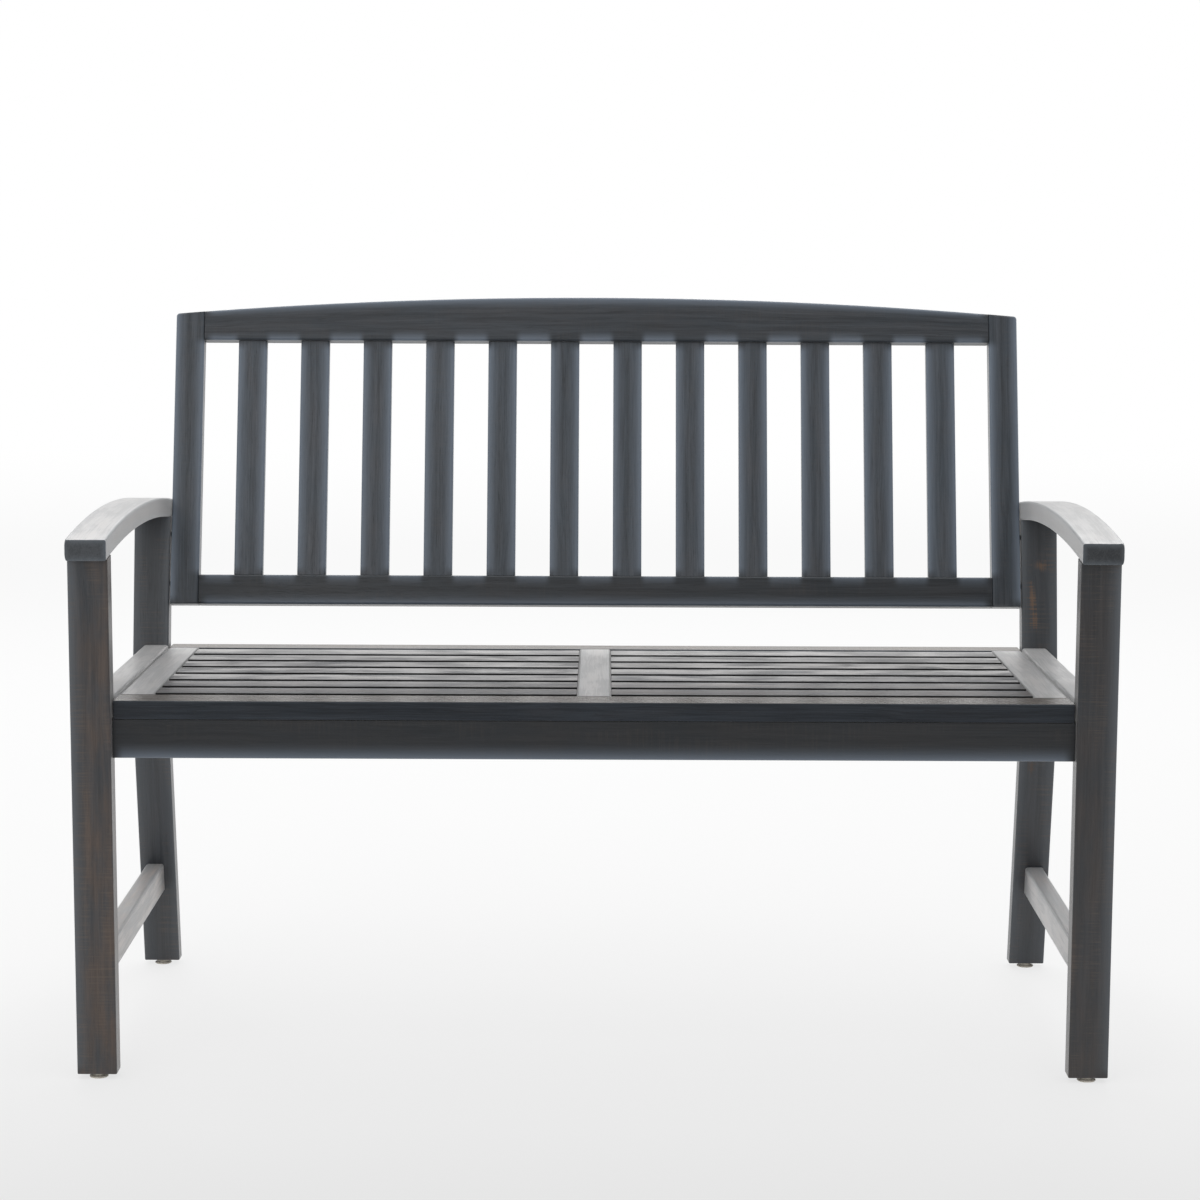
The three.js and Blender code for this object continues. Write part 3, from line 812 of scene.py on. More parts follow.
class EdgeWear(Effect):
    """A board's rubbed edges, a painted highlight (a pale bluish glow) along its open edges, and
    masks of its side faces and end faces, where shade is painted.
    """

    extra_inputs = {"Size": None, "Reach": 0.004, "Margin": 0.014, "Open Ends": 0.0}
    outputs = ("Wear", "Margin", "Sides", "Ends")
    cut_step = (4.1, 6.7, 2.3)
    gap_waves: Place = (45.0, 220.0, 220.0)
    gap_limits: Span = (0.35, 0.7)
    reach_change: Span = (0.15, 1.6)
    fall_off: float = 2.2
    end_fade: float = 0.014
    end_limits: Span = (0.002, 0.005)
    side_limits: Span = (0.0018, 0.0030)

    def build(self, nodes: Nodes, given: Terms, place: Term) -> Terms:
        """Makes the group's nodes.

        Args:
            nodes: The group's nodes.
            given: The group's inputs.
            place: The place in the wood that the board was cut from.

        Returns:
            What feeds each output.
        """
        inside = nodes.vector("SUBTRACT", given["Size"], nodes.vector("ABSOLUTE", given["Place"]))
        x, y, z = nodes.parts(inside)
        nearer, farther = nodes.math("MINIMUM", x, y), nodes.math("MAXIMUM", x, y)
        edge = nodes.math("MAXIMUM", nearer, nodes.math("MINIMUM", farther, z))
        gaps = nodes.noise(place, self.gap_waves, detail=4.0, roughness=0.65)
        reach = given["Reach"] * nodes.spread(gaps, *self.gap_limits, *self.reach_change)
        ends = nodes.spread(x, *self.end_limits, 1.0, 0.0) * given["Open Ends"]
        low, high = nodes.math("MINIMUM", y, z), nodes.math("MAXIMUM", y, z)
        inwards = nodes.blend_values(ends, high, low)
        inner = nodes.math("SUBTRACT", 1.0, inwards / given["Margin"], clamp=True)
        clear = nodes.math("MAXIMUM", nodes.spread(x, 0.0, self.end_fade), given["Open Ends"])
        return {
            "Wear": nodes.math("SUBTRACT", 1.0, edge / reach, clamp=True),
            "Margin": nodes.math("POWER", inner, self.fall_off) * clear,
            "Sides": nodes.spread(y, *self.side_limits, 1.0, 0.0),
            "Ends": ends,
        }


class Blotches(Effect):
    """Wide soft patches where the stain took more or less."""

    outputs = ("Patches", "Clouds")
    cut_step = (5.9, 1.3, 9.1)
    patch_waves: Place = (14.0, 42.0, 42.0)
    patch_limits: Span = (0.3, 0.7)
    cloud_waves: Place = (4.5, 9.0, 9.0)
    cloud_limits: Span = (0.32, 0.68)

    def build(self, nodes: Nodes, given: Terms, place: Term) -> Terms:
        """Makes the group's nodes.

        Args:
            nodes: The group's nodes.
            given: The group's inputs.
            place: The place in the wood that the board was cut from.

        Returns:
            What feeds each output.
        """
        patches = nodes.noise(place, self.patch_waves, detail=4.0, roughness=0.6)
        clouds = nodes.noise(place, self.cloud_waves, detail=3.0)
        return {
            "Patches": nodes.spread(patches, *self.patch_limits),
            "Clouds": nodes.spread(clouds, *self.cloud_limits),
        }


@dataclass(frozen=True)
class Blemish:
    """A stain in one board."""

    place: Place
    size: Place
    colour: Place
    strength: float = 0.6
    raggedness: float = 1.3
    core: float = 0.6
    rim: float = 1.9

    def share(self, nodes: Nodes, place: Term, ragged: Term) -> Term:
        """Finds how much of the wood it covers.

        Args:
            nodes: The material's nodes.
            place: The place in the wood.
            ragged: What makes its outline uneven, from 0 to 1.

        Returns:
            Its share at each place.
        """
        offset = nodes.vector("DIVIDE", nodes.vector("SUBTRACT", place, self.place), self.size)
        distance = ragged * self.raggedness + nodes.vector("LENGTH", offset)
        return nodes.spread(distance, self.core, self.rim, self.strength, 0.0)


# How much each effect counts in one property of the wood
GRAIN = {"Streaks": 0.34, "Lines": 0.26, "Rings": 0.10, "Pores": -0.3}
WARM_PATCHES = {"Patches": 0.7, "Streaks": 0.3}
DULLNESS = {"Clouds": 0.5, "Streaks": 0.5}
FILM_COVER = {"Patches": 0.4, "Streaks": 0.3, "Lines": 0.3}
RELIEF = {"Pores": -0.5, "Lines": 0.35, "Streaks": 0.6, "Marks": 0.3}
RAGGED = {"Marks": -0.5, "Lines": 0.7}

# The grain's mean, and the least raggedness of a stain's outline
GRAIN_MEAN = 0.35
RAGGED_LEAST = 0.3

# How warm a board is at its middle, for a warmth of 1, and how much its painted edge glow grows
# upwards
WARM_MIDDLE = 1.6
GLOW_RISE = 0.6

# How much of the grain is lost on end grain, and how much of the gloss where shade is painted on
# side faces and end faces
PLAIN_ENDS = 0.8
PAINTED_SHADE_DULLNESS = 0.5

# Heights from a post's middle between which its foot's tone comes up to the rest
FOOT_HEIGHTS: Span = (-0.34, -0.12)
FOOT_TONE = 0.84

# Depths in a back board, cover of the film and place between slats, from none to all
FRONT_TO_REAR: Span = (-0.002, 0.004)
FILM_LIMITS: Span = (0.32, 0.68)
BETWEEN_SLATS: Span = (-0.35, 0.4)

# How far the painted edge glow fades outside and inside an opening
OPENING_FADE: Span = (0.004, 0.010)


@dataclass(frozen=True)
class StainedWood:
    """Charcoal brown stain over open-grained wood, with a satin film."""

    name: str
    cool: Place = (0.046, 0.052, 0.060)
    warm: Place = (0.096, 0.068, 0.053)
    bare: Place = (0.150, 0.110, 0.080)
    # The colour and reach of a painted highlight, a pale bluish glow along the open edges
    margin: Place = (0.150, 0.170, 0.190)
    margin_reach: float = 0.018
    contrast: float = 1.2
    warm_drift: float = 0.0
    saw_strength: float = 0.2
    wear_strength: float = 0.15
    margin_strength: float = 0.5
    relief: float = 0.5
    relief_depth: float = 0.0003
    roughness: Span = (0.28, 0.42)
    gloss: float = 0.5
    sheen: float = 0.2
    sheen_roughness: float = 0.4
    sheen_tint: Place = (1.0, 1.0, 1.0)
    film: Span = (0.0, 0.0)
    film_roughness: float = 0.15
    # Painted shade: how much darker the side faces in the gaps and the open end faces are painted
    dark_sides: float = 0.0
    dark_ends: float = 0.25
    open_ends: float = 0.0
    joined_side: float = 0.0
    opening: Span = (-1.0, 1.0)
    pitch: float = 0.0
    margin_behind: float = 1.0
    blemishes: tuple[Blemish, ...] = ()

    def known(self, nodes: Nodes, effects: Sequence[Effect]) -> Terms:
        """Gathers what the finish knows of each point.

        Args:
            nodes: The material's nodes.
            effects: The shared effect groups.

        Returns:
            Every effect's outputs, with the point's place in the wood and the board's look.
        """
        place, size, board = (
            nodes.term("ShaderNodeAttribute", output="Vector", attribute_name=title)
            for title in ATTRIBUTES
        )
        known = {"place": place}
        known |= zip(("along", "across", "through"), nodes.parts(place))
        known |= zip(("cut", "tone", "warmth"), nodes.parts(board))
        given = {
            "Place": place, "Cut": known["cut"], "Size": size, "Margin": self.margin_reach,
            "Open Ends": self.open_ends,
        }
        for effect in effects:
            names = {"Place", "Cut", *effect.extra_inputs}
            inputs = {name: value for name, value in given.items() if name in names}
            known |= nodes.outputs("ShaderNodeGroup", inputs, node_tree=effect.tree)
        return known

    def opened(self, nodes: Nodes, along: Term) -> Term:
        """Finds where a long edge that other boards join lies open.

        Args:
            nodes: The material's nodes.
            along: The distance along the board.

        Returns:
            1 where the edge is open and 0 where a board joins it.
        """
        (low, high), (outside, inside) = self.opening, OPENING_FADE
        opened = nodes.spread(along, low - outside, low + inside)
        opened *= nodes.spread(along, high - inside, high + outside, 1.0, 0.0)
        if self.pitch:
            wave = nodes.math("COSINE", along * (math.tau / self.pitch))
            opened *= nodes.spread(wave, *BETWEEN_SLATS)
        return opened

    def paleness(self, nodes: Nodes, known: Terms) -> Term:
        """Finds how strong the painted glow is along the board's open edges: a pale bluish
        highlight painted into the colour.

        Args:
            nodes: The material's nodes.
            known: What is known of each point.

        Returns:
            The share of the painted glow's colour.
        """
        rise = (known["along"] * (self.warm_drift * GLOW_RISE) + 1.0) * self.margin_strength
        pale = nodes.math("MULTIPLY", known["Margin"], rise, clamp=True)
        if self.margin_behind < 1:
            pale *= nodes.spread(known["through"], *FRONT_TO_REAR, 1.0, self.margin_behind)
        if self.joined_side:
            joined = nodes.math("GREATER_THAN", known["across"] * self.joined_side, 0.0)
            pale *= 1.0 - joined * (1.0 - self.opened(nodes, known["along"]))
        return pale

    def colour(self, nodes: Nodes, known: Terms, painted_shade: Term) -> Term:
        """Mixes the wood's colour.

        Args:
            nodes: The material's nodes.
            known: What is known of each point.
            painted_shade: Where shade is painted into the colour, on the side faces in the gaps
                and on the arms' end faces.

        Returns:
            The colour.
        """
        tone, ends = known["tone"], known["Ends"]
        if self.warm_drift:
            tone *= nodes.spread(known["along"], *FOOT_HEIGHTS, FOOT_TONE, 1.0)
        warmer = known["warmth"] * (WARM_MIDDLE - known["along"] * self.warm_drift)
        share = nodes.math("MULTIPLY", weigh(known, WARM_PATCHES), warmer, clamp=True)
        share *= 1.0 - nodes.math("MAXIMUM", known["Margin"], ends)
        contrast = self.contrast - ends * (PLAIN_ENDS * self.contrast)
        grain = (weigh(known, GRAIN) - GRAIN_MEAN) * contrast
        # Painted shade darkens the side faces in the gaps and the arms' end faces
        shade = (grain + 1.0) * tone * (1.0 - painted_shade)
        colour = nodes.blend(1.0, nodes.blend(share, self.cool, self.warm), shade, "MULTIPLY")
        # Painted highlight: a pale bluish glow along the open edges, mixed into the colour
        colour = nodes.blend(self.paleness(nodes, known), colour, self.margin)
        colour = nodes.blend(known["Marks"] * self.saw_strength, colour, self.bare)
        ragged = weigh(known, RAGGED) + RAGGED_LEAST
        for blemish in self.blemishes:
            marred = blemish.share(nodes, known["place"], ragged)
            colour = nodes.blend(marred, colour, blemish.colour)
        return nodes.blend(known["Wear"] * self.wear_strength, colour, self.bare)

    def build(self, effects: Sequence[Effect]) -> bpy.types.Material:
        """Builds the material.

        Args:
            effects: The shared effect groups.

        Returns:
            The material.
        """
        material, nodes = new_material(self.name)
        known = self.known(nodes, effects)
        # Painted shade on the side faces in the gaps and on the arms' end faces, which also dulls
        # the gloss there
        painted_shade = known["Sides"] * self.dark_sides + known["Ends"] * self.dark_ends
        low, high = self.roughness
        bump = nodes.term("ShaderNodeBump", {
            "Height": weigh(known, RELIEF), "Strength": self.relief, "Distance": self.relief_depth,
        })
        cover = 0.0
        if self.film[1] > 0:
            cover = nodes.spread(weigh(known, FILM_COVER), *FILM_LIMITS, *self.film)
            cover *= 1.0 - known["Sides"]
        shader = nodes.term("ShaderNodeBsdfPrincipled", {
            "Base Color": self.colour(nodes, known, painted_shade),
            "Roughness": weigh(known, DULLNESS) * (high - low) + low + painted_shade * PAINTED_SHADE_DULLNESS,
            "Normal": bump,
            "Specular IOR Level": self.gloss,
            "Sheen Weight": self.sheen,
            "Sheen Roughness": self.sheen_roughness,
            "Sheen Tint": (*self.sheen_tint, 1.0),
            "Coat Weight": cover,
            "Coat Roughness": self.film_roughness,
        })
        nodes.add("ShaderNodeOutputMaterial", {0: shader})
        return material


# What the boards that run from front to back share: they are seen at a low angle and look light
GREY_SHEEN = {"relief": 0.3, "sheen": 1.0, "sheen_roughness": 0.35, "film_roughness": 0.35}
CLEAN = {"saw_strength": 0.0, "wear_strength": 0.0, "margin_strength": 0.0}


class WoodUse(Enum):
    """Where a board is used, with the finish that it took there."""

    POST = StainedWood(
        "stained_wood_posts", contrast=0.7, warm_drift=1.6, saw_strength=0.25, wear_strength=0.0,
        margin=(0.145, 0.160, 0.178), margin_reach=0.022, margin_strength=0.6,
    )
    STAINED_POST = replace(POST, name="stained_wood_rusty_post", blemishes=(
        Blemish((0.1852, 0.0021, 0.012), (0.007, 0.010, 0.020), (0.21, 0.12, 0.065)),
        Blemish((0.1420, -0.0085, 0.012), (0.020, 0.005, 0.020), (0.23, 0.13, 0.070)),
        Blemish((0.1150, -0.0060, 0.012), (0.012, 0.005, 0.020), (0.23, 0.13, 0.070), 0.5),
        Blemish((-0.0755, -0.0076, 0.012), (0.012, 0.006, 0.020), (0.12, 0.07, 0.04), 0.5),
    ))
    SIDE = StainedWood(
        "stained_wood_sides", contrast=1.8, margin=(0.140, 0.165, 0.190), margin_reach=0.010,
        margin_strength=0.2, saw_strength=0.1, film=(0.0, 0.7), **GREY_SHEEN,
    )
    ARM = replace(
        SIDE, name="stained_wood_arms", contrast=1.6, margin_strength=0.5, wear_strength=0.0,
        film=(0.0, 0.5), open_ends=1.0,
    )
    APRON = StainedWood(
        "stained_wood_aprons", cool=(0.042, 0.052, 0.064), margin=(0.165, 0.200, 0.250),
        margin_reach=0.022, margin_strength=0.8, contrast=0.7, saw_strength=0.05,
        wear_strength=0.0,
    )
    SEAT_RAIL = StainedWood(
        "stained_wood_seat_rails", cool=(0.042, 0.052, 0.066), roughness=(0.2, 0.32), gloss=0.25,
        sheen_tint=(1.0, 0.82, 0.64), **CLEAN,
    )
    SEAT_SLAT = StainedWood(
        "stained_wood_seat_slats", roughness=(0.3, 0.5), gloss=0.3, sheen=0.1, film=(0.0, 0.75),
        film_roughness=0.12, dark_sides=1.0, **CLEAN,
    )
    SEAT_SIDE = StainedWood(
        "stained_wood_seat_sides", contrast=1.8, film=(0.0, 0.7), dark_sides=0.7,
        **GREY_SHEEN, **CLEAN | {"saw_strength": 0.1},
    )
    BACK_SLAT = StainedWood(
        "stained_wood_back_slats", cool=(0.042, 0.052, 0.064), margin=(0.180, 0.218, 0.272),
        margin_strength=0.95, margin_behind=0.1, saw_strength=0.05, wear_strength=0.0,
    )
    BACK_STILE = replace(
        BACK_SLAT, name="stained_wood_stiles", joined_side=1.0, opening=(-0.166, 0.146)
    )
    BACK_TOP_RAIL = replace(
        BACK_SLAT, name="stained_wood_top_rail", joined_side=-1.0, pitch=0.0821
    )
    BACK_BOTTOM_RAIL = replace(
        BACK_SLAT, name="stained_wood_bottom_rail", joined_side=1.0, pitch=0.0821,
        margin_strength=0.7,
    )


@dataclass(frozen=True)
class Speckled:
    """A plain finish, speckled between two colours."""

    name: str
    grain: float
    limits: Span
    colours: tuple[Place, Place]
    roughness: Span
    metallic: float = 0.0

    def build(self) -> bpy.types.Material:
        """Builds the material.

        Returns:
            The material.
        """
        material, nodes = new_material(self.name)
        place = nodes.term("ShaderNodeTexCoord", output="Object")
        speckles = nodes.noise(place, (self.grain,) * 3, detail=4.0, roughness=0.6)
        share = nodes.spread(speckles, *self.limits)
        shader = nodes.term("ShaderNodeBsdfPrincipled", {
            "Base Color": nodes.blend(share, *self.colours),
            "Roughness": nodes.blend_values(share, *self.roughness),
            "Metallic": self.metallic,
        })
        nodes.add("ShaderNodeOutputMaterial", {0: shader})
        return material


BLACKED_STEEL = Speckled(
    "blacked_steel", 900.0, (0.5, 0.75), ((0.030, 0.031, 0.033), (0.11, 0.11, 0.115)),
    (0.45, 0.30), metallic=0.85,
)
GLIDE_PLASTIC = Speckled(
    "glide_plastic", 400.0, (0.35, 0.70), ((0.80, 0.76, 0.68), (0.62, 0.56, 0.47)), (0.45, 0.56)
)


@dataclass
class SideFrame:
    """One side of the bench: two legs, an armrest, a seat rail and a low stretcher."""

    layout: Layout
    side: Side
    leg_depth: float = 0.028
    leg_round: float = 0.002
    foot_chamfer: float = 0.0012
    board_round: float = 0.003
    arm_overhang: float = 0.002
    arm_round: float = 0.0025
    arm_crown: float = 0.002
    arm_crown_reach: float = 0.008
    arm_end_ease: float = 0.004
    rail_thickness: float = 0.032
    rail_rise: float = 0.0025
    stretcher_thickness: float = 0.023
    stretcher_height: float = 0.038
    stretcher_bottom: float = 0.1055
    stretcher_setback: float = 0.008
    counterbore_radius: float = 0.0058
    counterbore_depth: float = 0.008
    overrun: float = 0.020
    arc_margin: float = 1.01
    hidden_edge: float = 0.009
    hole_steps: int = 40
    knee_steps: int = 16
    arm_steps: int = 28
    run_off_steps: tuple[float, ...] = (0.1, 0.3, 0.6, 1.0)

    @property
    def leg_width(self) -> Span:
        """The legs' extent on X, on the right side."""
        return (self.layout.leg_inner, self.layout.leg_outer)

    def counterbore(self, bolt: str) -> bmesh.types.BMesh:
        """Shapes the round hole in a leg's outer face over a bolt's head.

        Args:
            bolt: The bolt's name without its side.

        Returns:
            The hole, as a shape to take out.
        """
        head = sum(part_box(f"{self.side.word}_{bolt}"), Vector()) / 2
        head.y -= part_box(f"{self.side.word}_front_leg")[0].y
        length = self.counterbore_depth + self.overrun
        head.x = self.layout.leg_outer - self.counterbore_depth + length / 2
        hole = bmesh.new()
        bmesh.ops.create_cone(
            hole, cap_ends=True, segments=self.hole_steps, radius1=self.counterbore_radius,
            radius2=self.counterbore_radius, depth=length,
            matrix=Matrix.Translation(head) @ Matrix.Rotation(math.pi / 2, 4, "Y"),
        )
        return hole

    def trim_under_arm(self, leg: Timber, depth: float) -> None:
        """Saws a leg's top to the armrest's underside.

        Args:
            leg: The leg.
            depth: Depth of the leg's middle under the armrest.
        """
        radius = self.layout.arm_radius - self.layout.arm_thickness
        slope = (depth - self.layout.arm_crown_depth) / radius
        top = self.layout.arm_under_at(depth) - self.layout.joint_gap
        leg.trim((0, depth, top), (0, math.sin(slope), math.cos(slope)))

    def front_leg(self) -> Timber:
        """Shapes the straight front leg.

        Returns:
            The leg.
        """
        foot = self.layout.leg_foot
        spans = (self.leg_width, (0.0, self.leg_depth), (foot, self.layout.arm_crown))
        leg = Timber.board(f"{self.side.word}_front_leg", spans, Grain.UPWARDS)
        leg.ease_long(self.leg_round, 5).keep_one_edge(self.hidden_edge)
        self.trim_under_arm(leg, self.leg_depth / 2)
        self.ease_foot(leg)
        return leg.take_out(self.counterbore("front_apron_bolt"))

    def ease_foot(self, leg: Timber) -> None:
        """Rounds the edges round a leg's foot.

        Args:
            leg: The leg.
        """
        foot = self.layout.leg_foot + TOUCH
        low = [e for e in leg.sharp_edges() if all(v.co.z < foot for v in e.verts)]
        leg.ease_edges(low, self.foot_chamfer, 3)

    def bent_leg(self, name: str, clearance: float = 0.0) -> Timber:
        """Shapes the rear leg's bent board, past its foot and its top.

        Args:
            name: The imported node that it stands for.
            clearance: How much it is thickened on its faces, for a cutter of the same form.

        Returns:
            The board.
        """
        layout = self.layout
        depth = layout.rear_leg_depth + 2 * clearance
        width = layout.leg_outer - layout.leg_inner + 2 * clearance
        radius = layout.knee_radius - layout.rear_leg_depth / 2
        centre = layout.knee_centre
        fibres = Fibres(centre, Vector((0, -1, 0)), Vector((0, 0, 1)), radius, layout.splay)
        length = layout.arm_crown / math.cos(layout.splay)
        reach = layout.knee_height / math.cos(layout.splay)
        leg = Timber(name, fibres, (reach, width / 2, depth / 2))
        mesh, axis = leg.mesh, Vector((-1, 0, 0))
        bmesh.ops.create_grid(mesh, x_segments=1, y_segments=1, size=0.5)
        bmesh.ops.scale(mesh, vec=(width, depth, 1), verts=mesh.verts)
        leg.ease_corners(mesh.verts, self.leg_round, 5)
        bmesh.ops.translate(mesh, vec=centre + Vector((0, -radius, 0)), verts=mesh.verts)
        turn = Matrix.Rotation(-layout.splay, 4, axis)
        bmesh.ops.transform(mesh, matrix=turn, verts=mesh.verts, space=Matrix.Translation(-centre))
        first = mesh.faces[:][0]
        spun = bmesh.ops.spin(
            mesh, geom=[first], cent=centre, axis=axis, angle=2 * layout.splay,
            steps=self.knee_steps,
        )
        last = [part for part in spun["geom_last"] if isinstance(part, bmesh.types.BMFace)]
        for faces, angle in (([first], -layout.splay), (last, layout.splay)):
            way = Vector((0, math.sin(abs(angle)), math.copysign(math.cos(angle), angle)))
            self.stretch(mesh, faces, way * length)
        bmesh.ops.recalc_face_normals(mesh, faces=mesh.faces)
        return leg

    @staticmethod
    def stretch(mesh: bmesh.types.BMesh, faces: list[bmesh.types.BMFace], step: Vector) -> None:
        """Draws end faces out and takes away the faces left inside.

        Args:
            mesh: The piece's mesh.
            faces: The faces at one end.
            step: How far they move.
        """
        drawn = bmesh.ops.extrude_face_region(mesh, geom=faces)["geom"]
        corners = [part for part in drawn if isinstance(part, bmesh.types.BMVert)]
        bmesh.ops.translate(mesh, vec=step, verts=corners)
        old = [face for face in faces if face.is_valid]
        bmesh.ops.delete(mesh, geom=old, context="FACES_ONLY")

    def rear_leg(self) -> Timber:
        """Shapes the bent rear leg.

        Returns:
            The leg.
        """
        layout = self.layout
        leg = self.bent_leg(f"{self.side.word}_rear_leg")
        leg.trim((0, 0, layout.leg_foot), (0, 0, -1))
        height = layout.arm_under_at(layout.arm_rear)
        half_depth = layout.rear_leg_depth / math.cos(layout.splay) / 2
        self.trim_under_arm(leg, layout.rear_leg_front_at(height) + half_depth)
        self.ease_foot(leg)
        for bolt in ("rear_apron_bolt", "lower_back_bolt", "upper_back_bolt"):
            leg.take_out(self.counterbore(bolt))
        return leg

    def armrest(self) -> Timber:
        """Shapes the arched armrest with its bulging outer side.

        Returns:
            The armrest.
        """
        layout = self.layout
        width = layout.leg_outer + self.arm_overhang - layout.leg_inner
        radius = layout.arm_radius - layout.arm_thickness / 2
        low = layout.arm_crown - layout.arm_radius
        centre = Vector((layout.leg_inner + width / 2, layout.arm_crown_depth, low))
        front_turn = math.asin((layout.arm_front - centre.y) / radius)
        rear_turn = math.asin((layout.arm_rear - centre.y) / radius)
        turned = Matrix.Rotation(-middle((front_turn, rear_turn)), 3, "X")
        outwards, forwards = turned @ Vector((0, 0, 1)), turned @ Vector((0, 1, 0))
        fibres = Fibres(centre, outwards, forwards, radius, math.pi / 2)
        size = (radius * (rear_turn - front_turn) / 2, width / 2, layout.arm_thickness / 2)
        arm = Timber(f"{self.side.word}_armrest", fibres, size)
        mesh, axis = arm.mesh, Vector((-1, 0, 0))
        bmesh.ops.create_grid(mesh, x_segments=1, y_segments=1, size=0.5)
        crown, reach = self.arm_crown, self.arm_crown_reach
        flat = (width / crown, layout.arm_thickness / reach, 1)
        bmesh.ops.scale(mesh, vec=flat, verts=mesh.verts)
        for outer, offset, steps in ((True, 1.0, 8), (False, self.arm_round, 4)):
            corners = [v for v in mesh.verts if (v.co.x > 0) == outer]
            arm.ease_corners(corners, offset, steps)
            if outer:
                bmesh.ops.scale(mesh, vec=(crown, reach, 1), verts=mesh.verts)
        bmesh.ops.rotate(mesh, matrix=Matrix.Rotation(math.pi / 2, 3, "X"), verts=mesh.verts)
        bmesh.ops.translate(mesh, vec=centre + Vector((0, 0, radius)), verts=mesh.verts)
        start = (layout.arm_front - self.overrun - centre.y) / radius
        total = (layout.arm_rear - layout.arm_front + 2 * self.overrun) / radius * self.arc_margin
        turn = Matrix.Rotation(start, 4, axis)
        bmesh.ops.transform(mesh, matrix=turn, verts=mesh.verts, space=Matrix.Translation(-centre))
        bmesh.ops.spin(
            mesh, geom=mesh.faces[:], cent=centre, axis=axis, angle=total, steps=self.arm_steps
        )
        bmesh.ops.recalc_face_normals(mesh, faces=mesh.faces)
        arm.trim((0, layout.arm_front, 0), (0, -1, 0)).trim((0, layout.arm_rear, 0), (0, 1, 0))
        self.run_off(arm, centre.x)
        return arm.ease(self.arm_end_ease, 3, Vector((1, 0, 0)))

    def run_off(self, arm: Timber, middle_x: float) -> None:
        """Rounds the armrest's outer side back towards both ends, as seen from above.

        Args:
            arm: The armrest.
            middle_x: The middle of its width.
        """
        layout, reach = self.layout, self.arm_crown_reach
        for share in self.run_off_steps:
            for depth in (layout.arm_front + share * reach, layout.arm_rear - share * reach):
                arm.trim((0, depth, 0), (0, 1, 0), keep=True)
        for vert in arm.mesh.verts:
            inside = min(vert.co.y - layout.arm_front, layout.arm_rear - vert.co.y)
            if vert.co.x > middle_x and inside < reach:
                share = 1 - max(inside, 0.0) / reach
                vert.co.x -= self.arm_crown * (1 - math.sqrt(1 - share**2))

    def seat_rail(self) -> Timber:
        """Shapes the rail at seat height, which falls with the seat and ends at the rear leg.

        Returns:
            The rail.
        """
        layout = self.layout
        x = (layout.leg_inner, layout.leg_inner + self.rail_thickness)
        depth = (self.leg_depth + layout.joint_gap, layout.knee_depth + self.leg_depth / 2)
        front = depth[0]
        low = layout.seat_under_at(front) - layout.apron_height
        spans = (x, depth, (low, layout.seat_top_at(front) + self.rail_rise))
        rail = Timber.board(f"{self.side.word}_side_seat_rail", spans, Grain.INWARDS)
        rail.ease_long(self.board_round)
        for vert in rail.mesh.verts:
            vert.co.z -= (vert.co.y - front) * math.tan(layout.seat_fall)
        return rail.take_out(self.bent_leg("cutter", layout.joint_gap).mesh)

    def stretcher(self) -> Timber:
        """Shapes the low stretcher, sawn to the rear leg's slope.

        Returns:
            The stretcher.
        """
        layout = self.layout
        outer = layout.leg_outer - self.stretcher_setback
        heights = (self.stretcher_bottom, self.stretcher_bottom + self.stretcher_height)
        end = layout.rear_leg_front_at(heights[0])
        depth = (self.leg_depth + layout.joint_gap, end + self.overrun / 2)
        spans = ((outer - self.stretcher_thickness, outer), depth, heights)
        bar = Timber.board(f"{self.side.word}_side_stretcher", spans, Grain.INWARDS)
        bar.ease_long(self.board_round)
        gap = layout.joint_gap / math.cos(layout.splay)
        slope = (0, math.cos(layout.splay), math.sin(layout.splay))
        return bar.trim((0, end - gap, heights[0]), slope)


@dataclass
class Aprons:
    """The two boards under the seat that join the side frames."""

    layout: Layout
    thickness: float = 0.018
    setback: float = 0.012
    rear_inset: float = 0.003
    edge_round: float = 0.003
    top_round: float = 0.0004
    hidden_edge: float = 0.010

    def board(self, name: str, front: float) -> Timber:
        """Shapes one apron.

        Args:
            name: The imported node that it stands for.
            front: Depth of its front face.

        Returns:
            The apron.
        """
        depth = (front, front + self.thickness)
        half = self.layout.leg_inner - self.layout.joint_gap
        spans = ((-half, half), depth, self.layout.apron_heights(depth))
        board = Timber.board(name, spans, Grain.SIDEWAYS).ease_towards((0, 0, -1), self.edge_round)
        return board.ease_towards((0, 0, 1), self.top_round, 2).keep_one_edge(self.hidden_edge)

    def boards(self) -> list[Timber]:
        """Shapes both aprons."""
        rear = self.layout.knee_centre.y - self.layout.knee_radius + self.rear_inset
        return [self.board("front_apron", self.setback), self.board("rear_apron", rear)]


